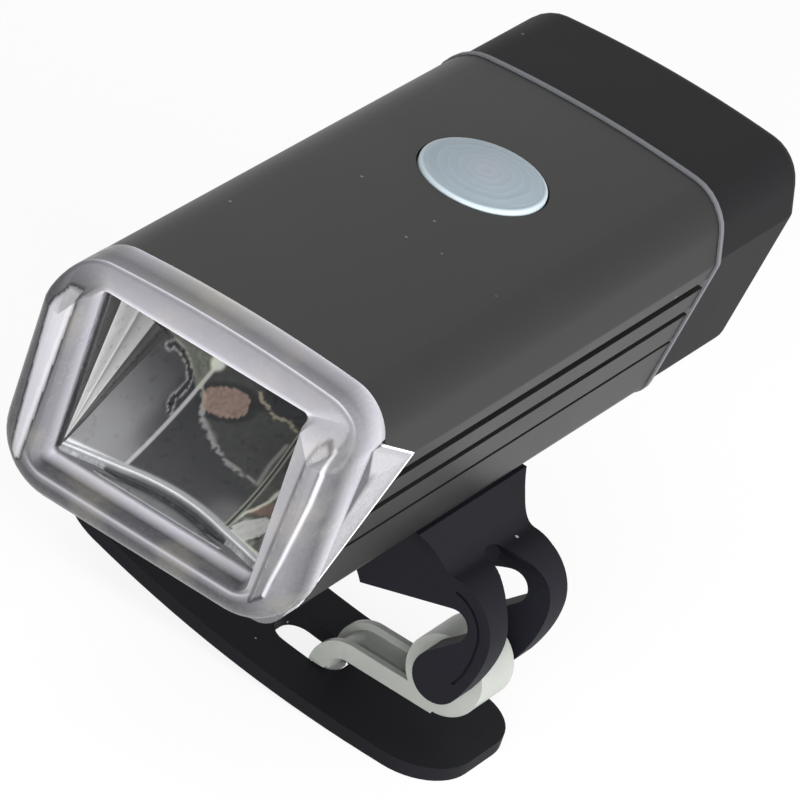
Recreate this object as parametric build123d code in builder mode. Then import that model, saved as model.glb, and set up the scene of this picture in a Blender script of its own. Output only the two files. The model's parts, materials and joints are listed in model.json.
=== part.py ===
from build123d import *
import math
import os

os.makedirs("parts", exist_ok=True)

# Frame: the bar runs along Y through the origin, the beam points to -Y, +Z is up, +X is the latch side.

# Housing, a six-sided extrusion
housing_length = 63.9
housing_height = 24.8
crease_half_width = 18.0
top_draw_in = 1.65
floor_draw_in = 2.9
crease_drop = 6.75
top_crown = 1.0
top_corner_radius = 4.6
crease_radius = 0.9
floor_corner_radius = 2.75
housing_wall = 1.7
groove_drops = (2.4, 6.1, 10.1)
groove_widths = (1.3, 1.0, 0.5)
groove_depths = (0.9, 0.8, 0.5)

# V-shaped front edge of the housing, seen from the side
notch_depth = 6.0
notch_start_drop = 3.9
chin_forward = 2.7

# Lens
lens_forward = 9.0
lens_draw_in = 0.7
lens_floor_rise = 0.5
lens_top_radius = 4.6
lens_floor_radius = 6.7
lens_rim_radius = 2.9
lens_front_wall = 2.6
lens_joint_gap = 0.15
gasket_wall = 1.2
gasket_depth = 1.2
rim_back_top = 2.2
rim_back_floor = 5.6
skirt_reach = 3.0
window_margin = 5.8
window_recess = 1.1

# Reflector, a scoop under a light source that faces down
reflector_margin = 5.3
reflector_wall = 1.0
reflector_rim_drop = 2.0
reflector_top_drop = 2.9
reflector_floor_rise = 3.9
reflector_start = 5.6
reflector_rim_depth = 1.4
reflector_back = 20.8
scoop_depth = 21.56
scoop_axis_drop = 4.0
scoop_lip_back = 2.0
scoop_lip_rise = 1.5
scoop_back_half_width = 7.0
led_hole_radius = 2.6
pocket_clearance = 0.2

# Light source under the roof
led_board_half_width = 10.5
led_board_length = 10.0
led_board_thickness = 1.2
led_size = 3.5
led_base_height = 0.6
led_dome_radius = 1.4
pad_thickness = 0.5

# Main board, switch and button
board_drop = 6.2
board_thickness = 1.2
board_margin = 3.0
board_corner = 1.0
board_start = 23.0
board_end_gap = 7.5
rail_width = 1.5
rail_height = 1.1
rail_gap = 0.1
button_from_rear = 21.15
button_radius = 6.6
button_gap = 0.2
button_dome = 0.55
button_proud = 0.4
button_flange = 1.2
button_flange_thickness = 0.9
button_travel = 0.6
button_stem_radius = 2.2
switch_side = 6.0
switch_height = 2.2
switch_chamfer = 0.5
plunger_radius = 1.7
plunger_length = 1.5
plunger_proud = 0.6
seal_wall = 1.2
indicator_length = 1.6
indicator_width = 0.8
indicator_height = 0.6

# Battery and its cradle
battery_start = 24.3
battery_headroom = 2.7
battery_side_gap = 0.22
battery_corner = 2.0
cradle_end_gap = 0.25
cradle_wall = 0.8
cradle_lift = 2.2
cradle_lip = 2.5
cradle_foot_inset = 1.8
cradle_foot_width = 1.6
lead_radius = 0.45
lead_spacing = 4.0
lead_bend = 0.75
lead_drop = 4.5
lead_clearance = 0.1

# Tail: end plate, plug, gasket and pull-off cap
plate_plug_depth = 3.4
plate_thickness = 2.0
spigot_length = 4.6
spigot_wall = 1.2
gasket_thickness = 0.7
gasket_proud = 0.25
cap_length = 17.3
cap_inset = 0.25
cap_wall = 1.8
cap_end_wall = 2.3
cap_end_radius = 2.2
cap_travel_gap = 0.06
fit_gap = 0.15
plug_width = 12.0
plug_height = 4.5
plug_skin = 0.35
plug_corner = 0.7
plug_length = 21.0
plug_tongue_thickness = 1.9
port_radius = 1.9
port_inset = 3.85
port_rise = 5.4
port_web = 1.2
plate_screw_radius = 1.0
plate_head_radius = 1.6
plate_head_height = 1.2
plate_socket_radius = 0.8
plate_screw_length = 9.0
thread_gap = 0.02
seal_groove_start = 2.0
seal_groove_width = 1.1
seal_groove_depth = 0.7

# Swivel under the housing
swivel_gap = 0.3
insert_radius = 7.2
insert_flange_radius = 8.0
insert_flange_thickness = 0.8
insert_thickness = 2.1
swivel_screw_radius = 1.5
swivel_head_radius = 2.75
swivel_head_height = 1.8
swivel_nut_radius = 3.1
swivel_nut_height = 1.7
running_gap = 0.05
washer_radius = 5.0
washer_clearance = 0.03
nut_clearance = 0.3

# Rubber bracket
bar_radius = 11.1
saddle_thickness = 5.2
saddle_half_width = 9.25
bracket_from_front = 32.5
bracket_width = 15.0
bracket_flare = 2.8
bracket_flare_curve = 0.9
bracket_flare_drop = 4.4
bracket_half_length = 14.6
hook_gap = 8.2
hook_gap_start = 15.4
hook_gap_top = 12.7
hook_tip_x = 20.2
hook_tip_z = 1.3
hook_tip_radius = 2.8
hook_tip_angles = (-25, -125, 135)
latch_pin_x = 19.8
latch_pin_z = 0.8
pin_radius = 1.0
pin_length = 12.6
lug_gap = 9.6
lug_x = -14.9
lug_z = 11.4
lug_radius = 3.0
neck_x = 16.0
neck_z = 14.6
lug_neck_x = -13.9
lug_neck_z = 14.7
hook_x = 18.6
hook_z = 6.6
hook_radius = 5.8
throat_x = 19.83
throat_z = 7.45
throat_radius = 1.8
throat_angles = (-45, 30, 107)

# Latch hook
latch_width = 6.2
barrel_x = 19.1
barrel_z = -1.0
barrel_radius = 4.4
arm_top_z = -3.8
arm_thickness = 1.9
bend_x = 8.9
bend_radius = 4.0
hook_leg_length = 2.0
hook_leg_width = 4.2
channel_depth = 0.8
channel_rim = 0.9

# Strap
strap_width = 17.7
strap_thickness = 1.5
strap_tip_x = 24.6
strap_tip_z = -9.2
strap_tip_corner = 6.2
strap_flat_x = 16.0
strap_rise_x = -18.6
strap_rise_z = -4.6
strap_taper_start_z = 3.5
strap_taper_end_z = 8.5
strap_neck_width = 9.0
strap_eye_radius = 2.3
slot_start_x = -0.6
slot_end_x = 7.8
slot_width = 5.6
slot_corner_radius = 2.2
pin_fit = 0.02

shoulder_angle = 45
bend_angle = 135
over_cut = 1.0
edge_reach = 6.0
pick_margin = 0.01

housing_floor_z = bar_radius + saddle_thickness + swivel_gap
housing_top_z = housing_floor_z + housing_height
front_y = -bracket_from_front
rear_y = front_y + housing_length
crease_z = housing_top_z - crease_drop
inner_floor_z = housing_floor_z + housing_wall
button_y = rear_y - button_from_rear
top_half_width = crease_half_width - top_draw_in
floor_half_width = crease_half_width - floor_draw_in
lens_half_width = crease_half_width - lens_draw_in
window_half_width = crease_half_width - window_margin
reflector_half_width = crease_half_width - reflector_margin
board_half_width = crease_half_width - board_margin
reflector_floor_drop = housing_height - reflector_floor_rise
scoop_lip_drop = reflector_floor_drop - scoop_lip_rise
board_end = housing_length - board_end_gap
span = 4 * crease_half_width
side_slope = (crease_half_width - floor_half_width) / (housing_height - crease_drop)


def cross_plane(y):
    """Plane square to the beam: local x is X, local y is Z, and a negative extrusion runs to the rear."""
    return Plane.XZ.offset(-y)


def roof_z(x):
    """Height of the crowned roof above a place x, without its corner radius."""
    return housing_top_z + top_crown * (1 - (x / top_half_width) ** 2)


def side_x(z):
    """Half width of the housing's lower side at a height z."""
    return floor_half_width + side_slope * (z - housing_floor_z)


def housing_section(y, inset, crease_rounding=crease_radius):
    """Outline of the housing, drawn in by an even inset."""
    with BuildSketch(cross_plane(y)) as section:
        with BuildLine():
            roof = ThreePointArc(
                (-top_half_width, housing_top_z),
                (0, housing_top_z + top_crown),
                (top_half_width, housing_top_z),
            )
            Polyline(
                roof @ 1,
                (crease_half_width, crease_z),
                (floor_half_width, housing_floor_z),
                (-floor_half_width, housing_floor_z),
                (-crease_half_width, crease_z),
                roof @ 0,
            )
        make_face()
        rows = section.vertices().group_by(Axis.Y)
        fillet(rows[0], floor_corner_radius)
        if crease_rounding:
            crease_row = section.vertices().filter_by_position(
                Axis.Y, crease_z - pick_margin, crease_z + pick_margin
            )
            fillet(crease_row, crease_rounding)
        top_row = section.vertices().filter_by_position(
            Axis.Y, housing_top_z - pick_margin, housing_top_z + pick_margin
        )
        fillet(top_row, top_corner_radius)
        if inset:
            offset(amount=-inset, mode=Mode.REPLACE)
    return section.sketch


def front_region(shift, reach):
    """Side view of all that lies ahead of the V-shaped front edge, moved to the rear by shift."""
    edge_slope = (notch_depth + chin_forward) / (housing_height - crease_drop)
    edge_y = front_y + shift
    with BuildSketch(Plane.YZ.offset(-span / 2)) as region:
        with BuildLine():
            Polyline(
                (edge_y - reach, housing_top_z + edge_reach),
                (edge_y, housing_top_z + edge_reach),
                (edge_y, housing_top_z - notch_start_drop),
                (edge_y + notch_depth, crease_z),
                (edge_y - chin_forward - edge_slope * edge_reach, housing_floor_z - edge_reach),
                (edge_y - reach, housing_floor_z - edge_reach),
                close=True,
            )
        make_face()
    return region.sketch


groove_places = [
    (crease_z - drop, width, depth) for drop, width, depth in zip(groove_drops, groove_widths, groove_depths)
]
port_z = housing_floor_z + port_rise
port_x = side_x(port_z) - housing_wall - port_inset
board_top_z = housing_top_z - board_drop
board_bottom_z = board_top_z - board_thickness
rail_tip_x = board_half_width - rail_width
rail_length = crease_half_width - rail_tip_x
rail_middle_x = rail_tip_x + rail_length / 2
side_angle = math.degrees(math.atan(side_slope))

# Rails for the main board and the two screw ports, inside the housing
with BuildPart() as inner_ribs:
    with BuildSketch(cross_plane(front_y + board_start)):
        with Locations((port_x, port_z), (-port_x, port_z)):
            Circle(port_radius)
        for side in (-1, 1):
            with Locations((side * (port_x + port_inset), port_z)):
                Rectangle(2 * port_inset, port_web)
            with Locations(
                (side * rail_middle_x, board_top_z + rail_gap + rail_height / 2),
                (side * rail_middle_x, board_bottom_z - rail_gap - rail_height / 2),
            ):
                Rectangle(rail_length, rail_height)
    extrude(amount=-(housing_length - board_start - plate_plug_depth))
    extrude(
        housing_section(front_y + board_start, housing_wall / 2),
        amount=-(housing_length - board_start),
        mode=Mode.INTERSECT,
    )

# Housing
with BuildPart() as body_shell:
    extrude(housing_section(front_y - chin_forward, 0), amount=-(housing_length + chin_forward))
    extrude(
        housing_section(front_y - chin_forward, housing_wall),
        amount=-(housing_length + chin_forward),
        mode=Mode.SUBTRACT,
    )
    add(inner_ribs.part)
    with BuildSketch(cross_plane(rear_y)):
        with Locations((port_x, port_z), (-port_x, port_z)):
            Circle(plate_screw_radius + thread_gap)
    extrude(amount=plate_screw_length + plate_plug_depth, mode=Mode.SUBTRACT)
    with BuildSketch(cross_plane(front_y - chin_forward)):
        for z, width, depth in groove_places:
            for side in (-1, 1):
                with Locations((side * side_x(z), z)):
                    Rectangle(2 * depth, width, rotation=-side * side_angle)
    extrude(amount=-(housing_length + chin_forward), mode=Mode.SUBTRACT)
    extrude(front_region(0, lens_forward), amount=span, mode=Mode.SUBTRACT)
    with BuildSketch(Plane.XY.offset(board_top_z)):
        with Locations((0, button_y)):
            Circle(button_radius + button_gap)
    extrude(amount=board_drop + 2 * top_crown, mode=Mode.SUBTRACT)
    with BuildSketch(Plane.XY.offset(housing_floor_z - over_cut)):
        Circle(swivel_screw_radius + running_gap)
    extrude(amount=housing_wall + 2 * over_cut, mode=Mode.SUBTRACT)
body_shell.part.label = "body_shell"
export_step(body_shell.part, "parts/body_shell.step")


def lens_section(y):
    """Outline of the lens rim: crowned top, upright sides and wide lower corners."""
    with BuildSketch(cross_plane(y)) as section:
        with BuildLine():
            top = ThreePointArc(
                (-lens_half_width, housing_top_z),
                (0, housing_top_z + top_crown),
                (lens_half_width, housing_top_z),
            )
            Polyline(top @ 1, (lens_half_width, lens_floor_z), (-lens_half_width, lens_floor_z), top @ 0)
        make_face()
        fillet(section.vertices().group_by(Axis.Y)[0], lens_floor_radius)
        fillet(section.vertices().group_by(Axis.Y)[-1], lens_top_radius)
    return section.sketch


def behind_rim():
    """Side view of all that lies behind the slanted back of the lens rim."""
    with BuildSketch(Plane.YZ.offset(-span / 2)) as region:
        with BuildLine():
            Polyline(
                (front_y - rim_back_top, housing_top_z - notch_start_drop),
                (front_y - rim_back_floor, lens_floor_z - 2 * over_cut),
                (front_y + housing_length, lens_floor_z - 2 * over_cut),
                (front_y + housing_length, housing_top_z - notch_start_drop),
                close=True,
            )
        make_face()
    return region.sketch


lens_floor_z = housing_floor_z + lens_floor_rise
lens_front_y = front_y - lens_forward
lens_back_y = front_y + notch_depth + skirt_reach
pocket_half_width = reflector_half_width + pocket_clearance
pocket_top_z = housing_top_z - reflector_rim_drop + pocket_clearance
pocket_floor_z = housing_top_z - reflector_floor_drop - pocket_clearance
window_height = reflector_floor_drop - reflector_rim_drop
window_z = housing_top_z - reflector_rim_drop - window_height / 2

# Wings of the lens, which fill the V notches, and the skirt inside the housing
with BuildPart() as lens_wings:
    extrude(housing_section(lens_front_y, 0), amount=-(lens_back_y - lens_front_y))
    extrude(front_region(-lens_joint_gap, lens_forward), amount=span, mode=Mode.INTERSECT)
    extrude(behind_rim(), amount=span, mode=Mode.INTERSECT)

with BuildPart() as lens_skirt:
    extrude(
        housing_section(front_y - rim_back_top, housing_wall + lens_joint_gap),
        amount=-(lens_back_y - front_y + rim_back_top),
    )
    extrude(front_region(skirt_reach, lens_forward + skirt_reach), amount=span, mode=Mode.INTERSECT)

# Lens
with BuildPart() as front_lens:
    extrude(lens_section(lens_front_y), amount=-lens_forward)
    fillet(front_lens.faces().sort_by(Axis.Y)[0].edges(), lens_rim_radius)
    extrude(behind_rim(), amount=span, mode=Mode.SUBTRACT)
    add(lens_wings.part)
    add(lens_skirt.part)
    with BuildSketch(cross_plane(lens_back_y + over_cut)):
        with Locations((0, (pocket_top_z + pocket_floor_z) / 2)):
            Rectangle(2 * pocket_half_width, pocket_top_z - pocket_floor_z)
    extrude(amount=lens_back_y + over_cut - lens_front_y - lens_front_wall, mode=Mode.SUBTRACT)
    with BuildSketch(cross_plane(lens_front_y)):
        with Locations((0, window_z)):
            Rectangle(2 * window_half_width, window_height)
    extrude(amount=-window_recess, mode=Mode.SUBTRACT)
front_lens.part.label = "front_lens"
export_step(front_lens.part, "parts/front_lens.step")

# Seal between the lens skirt and the housing
with BuildPart() as lens_gasket:
    extrude(
        housing_section(front_y - chin_forward, housing_wall + running_gap),
        amount=-(chin_forward + lens_back_y + gasket_depth - front_y),
    )
    extrude(
        housing_section(front_y - chin_forward, housing_wall + gasket_wall),
        amount=-(chin_forward + lens_back_y + gasket_depth - front_y),
        mode=Mode.SUBTRACT,
    )
    extrude(
        front_region(skirt_reach, lens_forward + skirt_reach),
        amount=span,
        mode=Mode.SUBTRACT,
    )
    extrude(
        front_region(skirt_reach + gasket_depth, lens_forward + skirt_reach),
        amount=span,
        mode=Mode.INTERSECT,
    )
lens_gasket.part.label = "lens_gasket"
export_step(lens_gasket.part, "parts/lens_gasket.step")

scoop_axis_z = housing_top_z - scoop_axis_drop
scoop_lip_y = front_y - scoop_lip_back
scoop_lip_z = housing_top_z - scoop_lip_drop
scoop_height = scoop_axis_z - scoop_lip_z
scoop_vertex_y = scoop_lip_y + scoop_depth
scoop_focus = scoop_height**2 / (4 * scoop_depth)
led_y = scoop_vertex_y - scoop_focus
reflector_front_y = front_y - reflector_start
reflector_rear_y = front_y + reflector_back
reflector_floor_z = housing_top_z - reflector_floor_drop
reflector_roof_z = housing_top_z - reflector_top_drop
scoop_half_width = reflector_half_width - reflector_wall

# Hollow of the reflector: a parabola that throws the light of a downward source forward
with BuildPart() as scoop:
    with BuildSketch(Plane.YZ.offset(-scoop_half_width)):
        with BuildLine():
            parabola = Bezier(
                (scoop_vertex_y, scoop_axis_z),
                (scoop_vertex_y, scoop_axis_z - scoop_height / 2),
                (scoop_lip_y, scoop_lip_z),
            )
            Polyline(
                parabola @ 1,
                (scoop_lip_y, reflector_floor_z + reflector_wall),
                (reflector_front_y - over_cut, reflector_floor_z + reflector_wall),
                (reflector_front_y - over_cut, scoop_axis_z),
                parabola @ 0,
            )
        make_face()
    extrude(amount=2 * scoop_half_width)
    with BuildSketch(Plane.XY.offset(reflector_floor_z)):
        with BuildLine():
            Polyline(
                (-scoop_half_width, reflector_front_y - over_cut),
                (scoop_half_width, reflector_front_y - over_cut),
                (scoop_half_width, scoop_lip_y),
                (scoop_back_half_width, scoop_vertex_y + over_cut),
                (-scoop_back_half_width, scoop_vertex_y + over_cut),
                (-scoop_half_width, scoop_lip_y),
                close=True,
            )
        make_face()
    extrude(amount=housing_height, mode=Mode.INTERSECT)

# Reflector
with BuildPart() as reflector:
    with BuildSketch(cross_plane(reflector_front_y)):
        with Locations((0, window_z)):
            Rectangle(2 * reflector_half_width, window_height)
    extrude(amount=-reflector_rim_depth)
    with BuildSketch(cross_plane(reflector_front_y)):
        with Locations((0, (reflector_floor_z + reflector_roof_z) / 2)):
            Rectangle(2 * (scoop_half_width + reflector_wall / 2), reflector_roof_z - reflector_floor_z)
    extrude(amount=-(reflector_rear_y - reflector_front_y))
    add(scoop.part, mode=Mode.SUBTRACT)
    with BuildSketch(Plane.XY.offset(scoop_axis_z - over_cut)):
        with Locations((0, led_y)):
            Circle(led_hole_radius)
    extrude(amount=housing_height, mode=Mode.SUBTRACT)
reflector.part.label = "reflector"
export_step(reflector.part, "parts/reflector.step")

# Light source: board, emitter that faces down, and the pad that takes the heat to the roof
with BuildPart() as led_board:
    with BuildSketch(Plane.XY.offset(reflector_roof_z)):
        with Locations((0, led_y)):
            RectangleRounded(2 * led_board_half_width, led_board_length, board_corner)
    extrude(amount=led_board_thickness)
led_board.part.label = "led_board"
export_step(led_board.part, "parts/led_board.step")

with BuildPart() as led_emitter:
    with BuildSketch(Plane.XY.offset(reflector_roof_z)):
        with Locations((0, led_y)):
            Rectangle(led_size, led_size)
    extrude(amount=-led_base_height)
    with Locations((0, led_y, reflector_roof_z - led_base_height)):
        Sphere(led_dome_radius, arc_size1=-90, arc_size2=0, align=(Align.CENTER, Align.CENTER, Align.MAX))
led_emitter.part.label = "led_emitter"
export_step(led_emitter.part, "parts/led_emitter.step")

with BuildPart() as thermal_pad:
    with BuildSketch(Plane.XY.offset(reflector_roof_z + led_board_thickness)):
        with Locations((0, led_y)):
            RectangleRounded(2 * led_board_half_width, led_board_length, board_corner)
    extrude(amount=pad_thickness)
thermal_pad.part.label = "thermal_pad"
export_step(thermal_pad.part, "parts/thermal_pad.step")

# Main board with the switch, its lamps and the collar that keeps water off it
board_y = front_y + (board_start + board_end) / 2
with BuildPart() as main_board:
    with BuildSketch(Plane.XY.offset(board_bottom_z)):
        with Locations((0, board_y)):
            RectangleRounded(2 * board_half_width, board_end - board_start, board_corner)
    extrude(amount=board_thickness)
main_board.part.label = "main_board"
export_step(main_board.part, "parts/main_board.step")

plunger_top_z = board_top_z + switch_height + plunger_proud
with BuildPart() as tact_switch:
    with BuildSketch(Plane.XY.offset(board_top_z)):
        with Locations((0, button_y)):
            Rectangle(switch_side, switch_side)
    extrude(amount=switch_height)
    chamfer(tact_switch.edges().filter_by(Axis.Z), switch_chamfer)
    with BuildSketch(Plane.XY.offset(plunger_top_z - plunger_length - button_travel - running_gap)):
        with Locations((0, button_y)):
            Circle(plunger_radius + running_gap)
    extrude(amount=plunger_length + button_travel + over_cut, mode=Mode.SUBTRACT)
tact_switch.part.label = "tact_switch"
export_step(tact_switch.part, "parts/tact_switch.step")

with BuildPart() as switch_plunger:
    with BuildSketch(Plane.XY.offset(plunger_top_z)):
        with Locations((0, button_y)):
            Circle(plunger_radius)
    extrude(amount=-plunger_length)
switch_plunger.part.label = "switch_plunger"
export_step(switch_plunger.part, "parts/switch_plunger.step")

flange_radius = button_radius + button_flange
flange_top_z = roof_z(flange_radius) - housing_wall - button_gap
flange_bottom_z = flange_top_z - button_flange_thickness
button_rim_z = roof_z(button_radius) + button_proud
with BuildPart() as power_button:
    with BuildSketch(Plane.XZ.offset(-button_y)):
        with BuildLine():
            dome = ThreePointArc(
                (-button_radius, button_rim_z),
                (0, button_rim_z + button_dome),
                (button_radius, button_rim_z),
            )
            Polyline(
                dome @ 1,
                (button_radius, flange_top_z),
                (flange_radius, flange_top_z),
                (flange_radius, flange_bottom_z),
                (button_stem_radius, flange_bottom_z),
                (button_stem_radius, plunger_top_z),
                (-button_stem_radius, plunger_top_z),
                (-button_stem_radius, flange_bottom_z),
                (-flange_radius, flange_bottom_z),
                (-flange_radius, flange_top_z),
                (-button_radius, flange_top_z),
                dome @ 0,
            )
        make_face()
        with Locations((flange_radius, (plunger_top_z + button_rim_z) / 2)):
            Rectangle(2 * flange_radius, housing_height, mode=Mode.INTERSECT)
    revolve(axis=Axis((0, button_y, 0), (0, 0, 1)))
power_button.part.label = "power_button"
export_step(power_button.part, "parts/power_button.step")

with BuildPart() as button_seal:
    with BuildSketch(Plane.XY.offset(board_top_z)):
        with Locations((0, button_y)):
            Circle(flange_radius + seal_wall / 2)
            Circle(flange_radius - seal_wall / 2, mode=Mode.SUBTRACT)
    extrude(amount=flange_bottom_z - button_travel - button_gap - board_top_z)
button_seal.part.label = "button_seal"
export_step(button_seal.part, "parts/button_seal.step")

indicator_offset = (switch_side / 2 + flange_radius - seal_wall / 2) / 2
with BuildPart() as indicator_leds:
    with BuildSketch(Plane.XY.offset(board_top_z)):
        with Locations((0, button_y - indicator_offset), (0, button_y + indicator_offset)):
            Rectangle(indicator_length, indicator_width)
    extrude(amount=indicator_height)
indicator_leds.part.label = "indicator_leds"
export_step(indicator_leds.part, "parts/indicator_leds.step")

# Battery, its cradle and its two leads
cradle_floor_z = inner_floor_z + cradle_lift + cradle_wall
battery_length = (
    housing_length - plate_plug_depth - cradle_end_gap - cradle_wall - fit_gap - battery_start
)
battery_width = 2 * (port_x - port_radius - battery_side_gap)
battery_height = board_bottom_z - battery_headroom - cradle_floor_z
battery_y = front_y + battery_start + battery_length / 2
cradle_length = battery_length + 2 * (fit_gap + cradle_wall)
cradle_foot_x = battery_width / 2 - cradle_foot_inset
with BuildPart() as battery_cell:
    with BuildSketch(cross_plane(battery_y - battery_length / 2)):
        with Locations((0, cradle_floor_z + battery_height / 2)):
            RectangleRounded(battery_width, battery_height, battery_corner)
    extrude(amount=-battery_length)
battery_cell.part.label = "battery_cell"
export_step(battery_cell.part, "parts/battery_cell.step")

with BuildPart() as battery_cradle:
    with BuildSketch(Plane.XY.offset(cradle_floor_z - cradle_wall)):
        with Locations((0, battery_y)):
            Rectangle(battery_width, cradle_length)
    extrude(amount=cradle_wall + cradle_lip)
    with BuildSketch(Plane.XY.offset(cradle_floor_z)):
        with Locations((0, battery_y)):
            Rectangle(battery_width, cradle_length - 2 * cradle_wall)
    extrude(amount=cradle_lip, mode=Mode.SUBTRACT)
    with BuildSketch(Plane.XY.offset(inner_floor_z)):
        with Locations((-cradle_foot_x, battery_y), (cradle_foot_x, battery_y)):
            Rectangle(cradle_foot_width, cradle_length)
    extrude(amount=cradle_lift)
battery_cradle.part.label = "battery_cradle"
export_step(battery_cradle.part, "parts/battery_cradle.step")

lead_root_y = battery_y - battery_length / 2
lead_y = lead_root_y - lead_bend - lead_clearance
lead_z = board_bottom_z - lead_drop
with BuildPart() as battery_leads:
    for side in (-1, 1):
        lead_x = side * lead_spacing / 2
        with BuildLine() as route:
            FilletPolyline(
                (lead_x, lead_root_y, lead_z),
                (lead_x, lead_y, lead_z),
                (lead_x, lead_y, board_bottom_z),
                radius=lead_bend,
            )
        with BuildSketch(cross_plane(lead_root_y)):
            with Locations((lead_x, lead_z)):
                Circle(lead_radius)
        sweep(path=route.line)
battery_leads.part.label = "battery_leads"
export_step(battery_leads.part, "parts/battery_leads.step")

# Plug that the pull-off cap covers
plug_root_y = front_y + board_end
plug_z = (board_top_z + board_bottom_z) / 2
with BuildPart() as plug_shell:
    with BuildSketch(cross_plane(plug_root_y)):
        with Locations((0, plug_z)):
            RectangleRounded(plug_width, plug_height, plug_corner)
            Rectangle(plug_width - 2 * plug_skin, plug_height - 2 * plug_skin, mode=Mode.SUBTRACT)
    extrude(amount=-plug_length)
plug_shell.part.label = "plug_shell"
export_step(plug_shell.part, "parts/plug_shell.step")

plate_front_y = rear_y - plate_plug_depth
plate_back_y = plate_front_y + plate_thickness
tongue_width = plug_width - 2 * plug_skin - 2 * running_gap
with BuildPart() as plug_tongue:
    with BuildSketch(cross_plane(plug_root_y)):
        with Locations((0, plug_z)):
            Rectangle(tongue_width, plug_height - 2 * plug_skin - 2 * running_gap)
    extrude(amount=-(plate_back_y - plug_root_y))
    with BuildSketch(cross_plane(plug_root_y)):
        with Locations((0, plug_z - (plug_height / 2 - plug_skin - running_gap - plug_tongue_thickness / 2))):
            Rectangle(tongue_width, plug_tongue_thickness)
    extrude(amount=-(plug_length - plug_skin))
plug_tongue.part.label = "plug_tongue"
export_step(plug_tongue.part, "parts/plug_tongue.step")

# End plate: a plug in the housing and a spigot for the cap
cap_bore_inset = cap_inset + cap_wall
spigot_inset = cap_bore_inset + fit_gap
with BuildPart() as end_plate:
    extrude(housing_section(plate_front_y, housing_wall + fit_gap), amount=-plate_plug_depth)
    extrude(housing_section(rear_y, spigot_inset), amount=-spigot_length)
    extrude(
        housing_section(plate_back_y, spigot_inset + spigot_wall),
        amount=-(plate_plug_depth + spigot_length),
        mode=Mode.SUBTRACT,
    )
    with BuildSketch(cross_plane(plate_front_y)):
        with Locations((0, plug_z)):
            Rectangle(plug_width + 2 * fit_gap, plug_height + 2 * fit_gap)
        with Locations((port_x, port_z), (-port_x, port_z)):
            Circle(plate_screw_radius + thread_gap)
    extrude(amount=-plate_thickness, mode=Mode.SUBTRACT)
    groove_y = rear_y + seal_groove_start
    with BuildSketch(cross_plane(groove_y)):
        add(housing_section(groove_y, 0))
        add(housing_section(groove_y, spigot_inset + seal_groove_depth), mode=Mode.SUBTRACT)
    extrude(amount=-seal_groove_width, mode=Mode.SUBTRACT)
end_plate.part.label = "end_plate"
export_step(end_plate.part, "parts/end_plate.step")

with BuildPart() as end_plate_screws:
    with BuildSketch(cross_plane(plate_back_y)):
        with Locations((port_x, port_z), (-port_x, port_z)):
            Circle(plate_screw_radius)
    extrude(amount=plate_screw_length)
    with BuildSketch(cross_plane(plate_back_y)):
        with Locations((port_x, port_z), (-port_x, port_z)):
            Circle(plate_head_radius)
            RegularPolygon(plate_socket_radius, 6, mode=Mode.SUBTRACT)
    extrude(amount=-plate_head_height)
end_plate_screws.part.label = "end_plate_screws"
export_step(end_plate_screws.part, "parts/end_plate_screws.step")

# Ring in the spigot's groove that holds the cap by friction
with BuildPart() as cap_seal:
    ring_y = rear_y + seal_groove_start + running_gap
    ring_length = seal_groove_width - 2 * running_gap
    extrude(housing_section(ring_y, cap_bore_inset + cap_travel_gap), amount=-ring_length)
    extrude(
        housing_section(ring_y, spigot_inset + seal_groove_depth - running_gap),
        amount=-ring_length,
        mode=Mode.SUBTRACT,
    )
cap_seal.part.label = "cap_seal"
export_step(cap_seal.part, "parts/cap_seal.step")

with BuildPart() as rear_gasket:
    extrude(housing_section(rear_y, -gasket_proud), amount=-gasket_thickness)
    extrude(housing_section(rear_y, spigot_inset - running_gap), amount=-gasket_thickness, mode=Mode.SUBTRACT)
rear_gasket.part.label = "rear_gasket"
export_step(rear_gasket.part, "parts/rear_gasket.step")

cap_front_y = rear_y + gasket_thickness
cap_rear_y = cap_front_y + cap_length
with BuildPart() as rear_cap:
    extrude(housing_section(cap_front_y, cap_inset, 0), amount=-cap_length)
    fillet(rear_cap.faces().sort_by(Axis.Y)[-1].edges(), cap_end_radius)
    extrude(
        housing_section(cap_front_y, cap_bore_inset),
        amount=-(cap_length - cap_end_wall),
        mode=Mode.SUBTRACT,
    )
rear_cap.part.label = "rear_cap"
export_step(rear_cap.part, "parts/rear_cap.step")

# Swivel: screw and nut turn with the housing, washer and insert stay with the bracket
bracket_top_z = housing_floor_z - swivel_gap
insert_floor_z = bracket_top_z - insert_thickness
nut_top_z = insert_floor_z - 2 * running_gap
nut_floor_z = nut_top_z - swivel_nut_height
with BuildPart() as swivel_screw:
    with BuildSketch(Plane.XY.offset(nut_floor_z)):
        Circle(swivel_screw_radius)
    extrude(amount=inner_floor_z - nut_floor_z)
    with BuildSketch(Plane.XY.offset(inner_floor_z)):
        Circle(swivel_head_radius)
    extrude(amount=swivel_head_height)
    with BuildSketch(Plane.XY.offset(inner_floor_z + swivel_head_height)):
        RegularPolygon(swivel_screw_radius, 6)
    extrude(amount=-swivel_head_height / 2, mode=Mode.SUBTRACT)
swivel_screw.part.label = "swivel_screw"
export_step(swivel_screw.part, "parts/swivel_screw.step")

with BuildPart() as swivel_nut:
    with BuildSketch(Plane.XY.offset(nut_floor_z)):
        RegularPolygon(swivel_nut_radius, 6)
        Circle(swivel_screw_radius + thread_gap, mode=Mode.SUBTRACT)
    extrude(amount=swivel_nut_height)
swivel_nut.part.label = "swivel_nut"
export_step(swivel_nut.part, "parts/swivel_nut.step")

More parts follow.
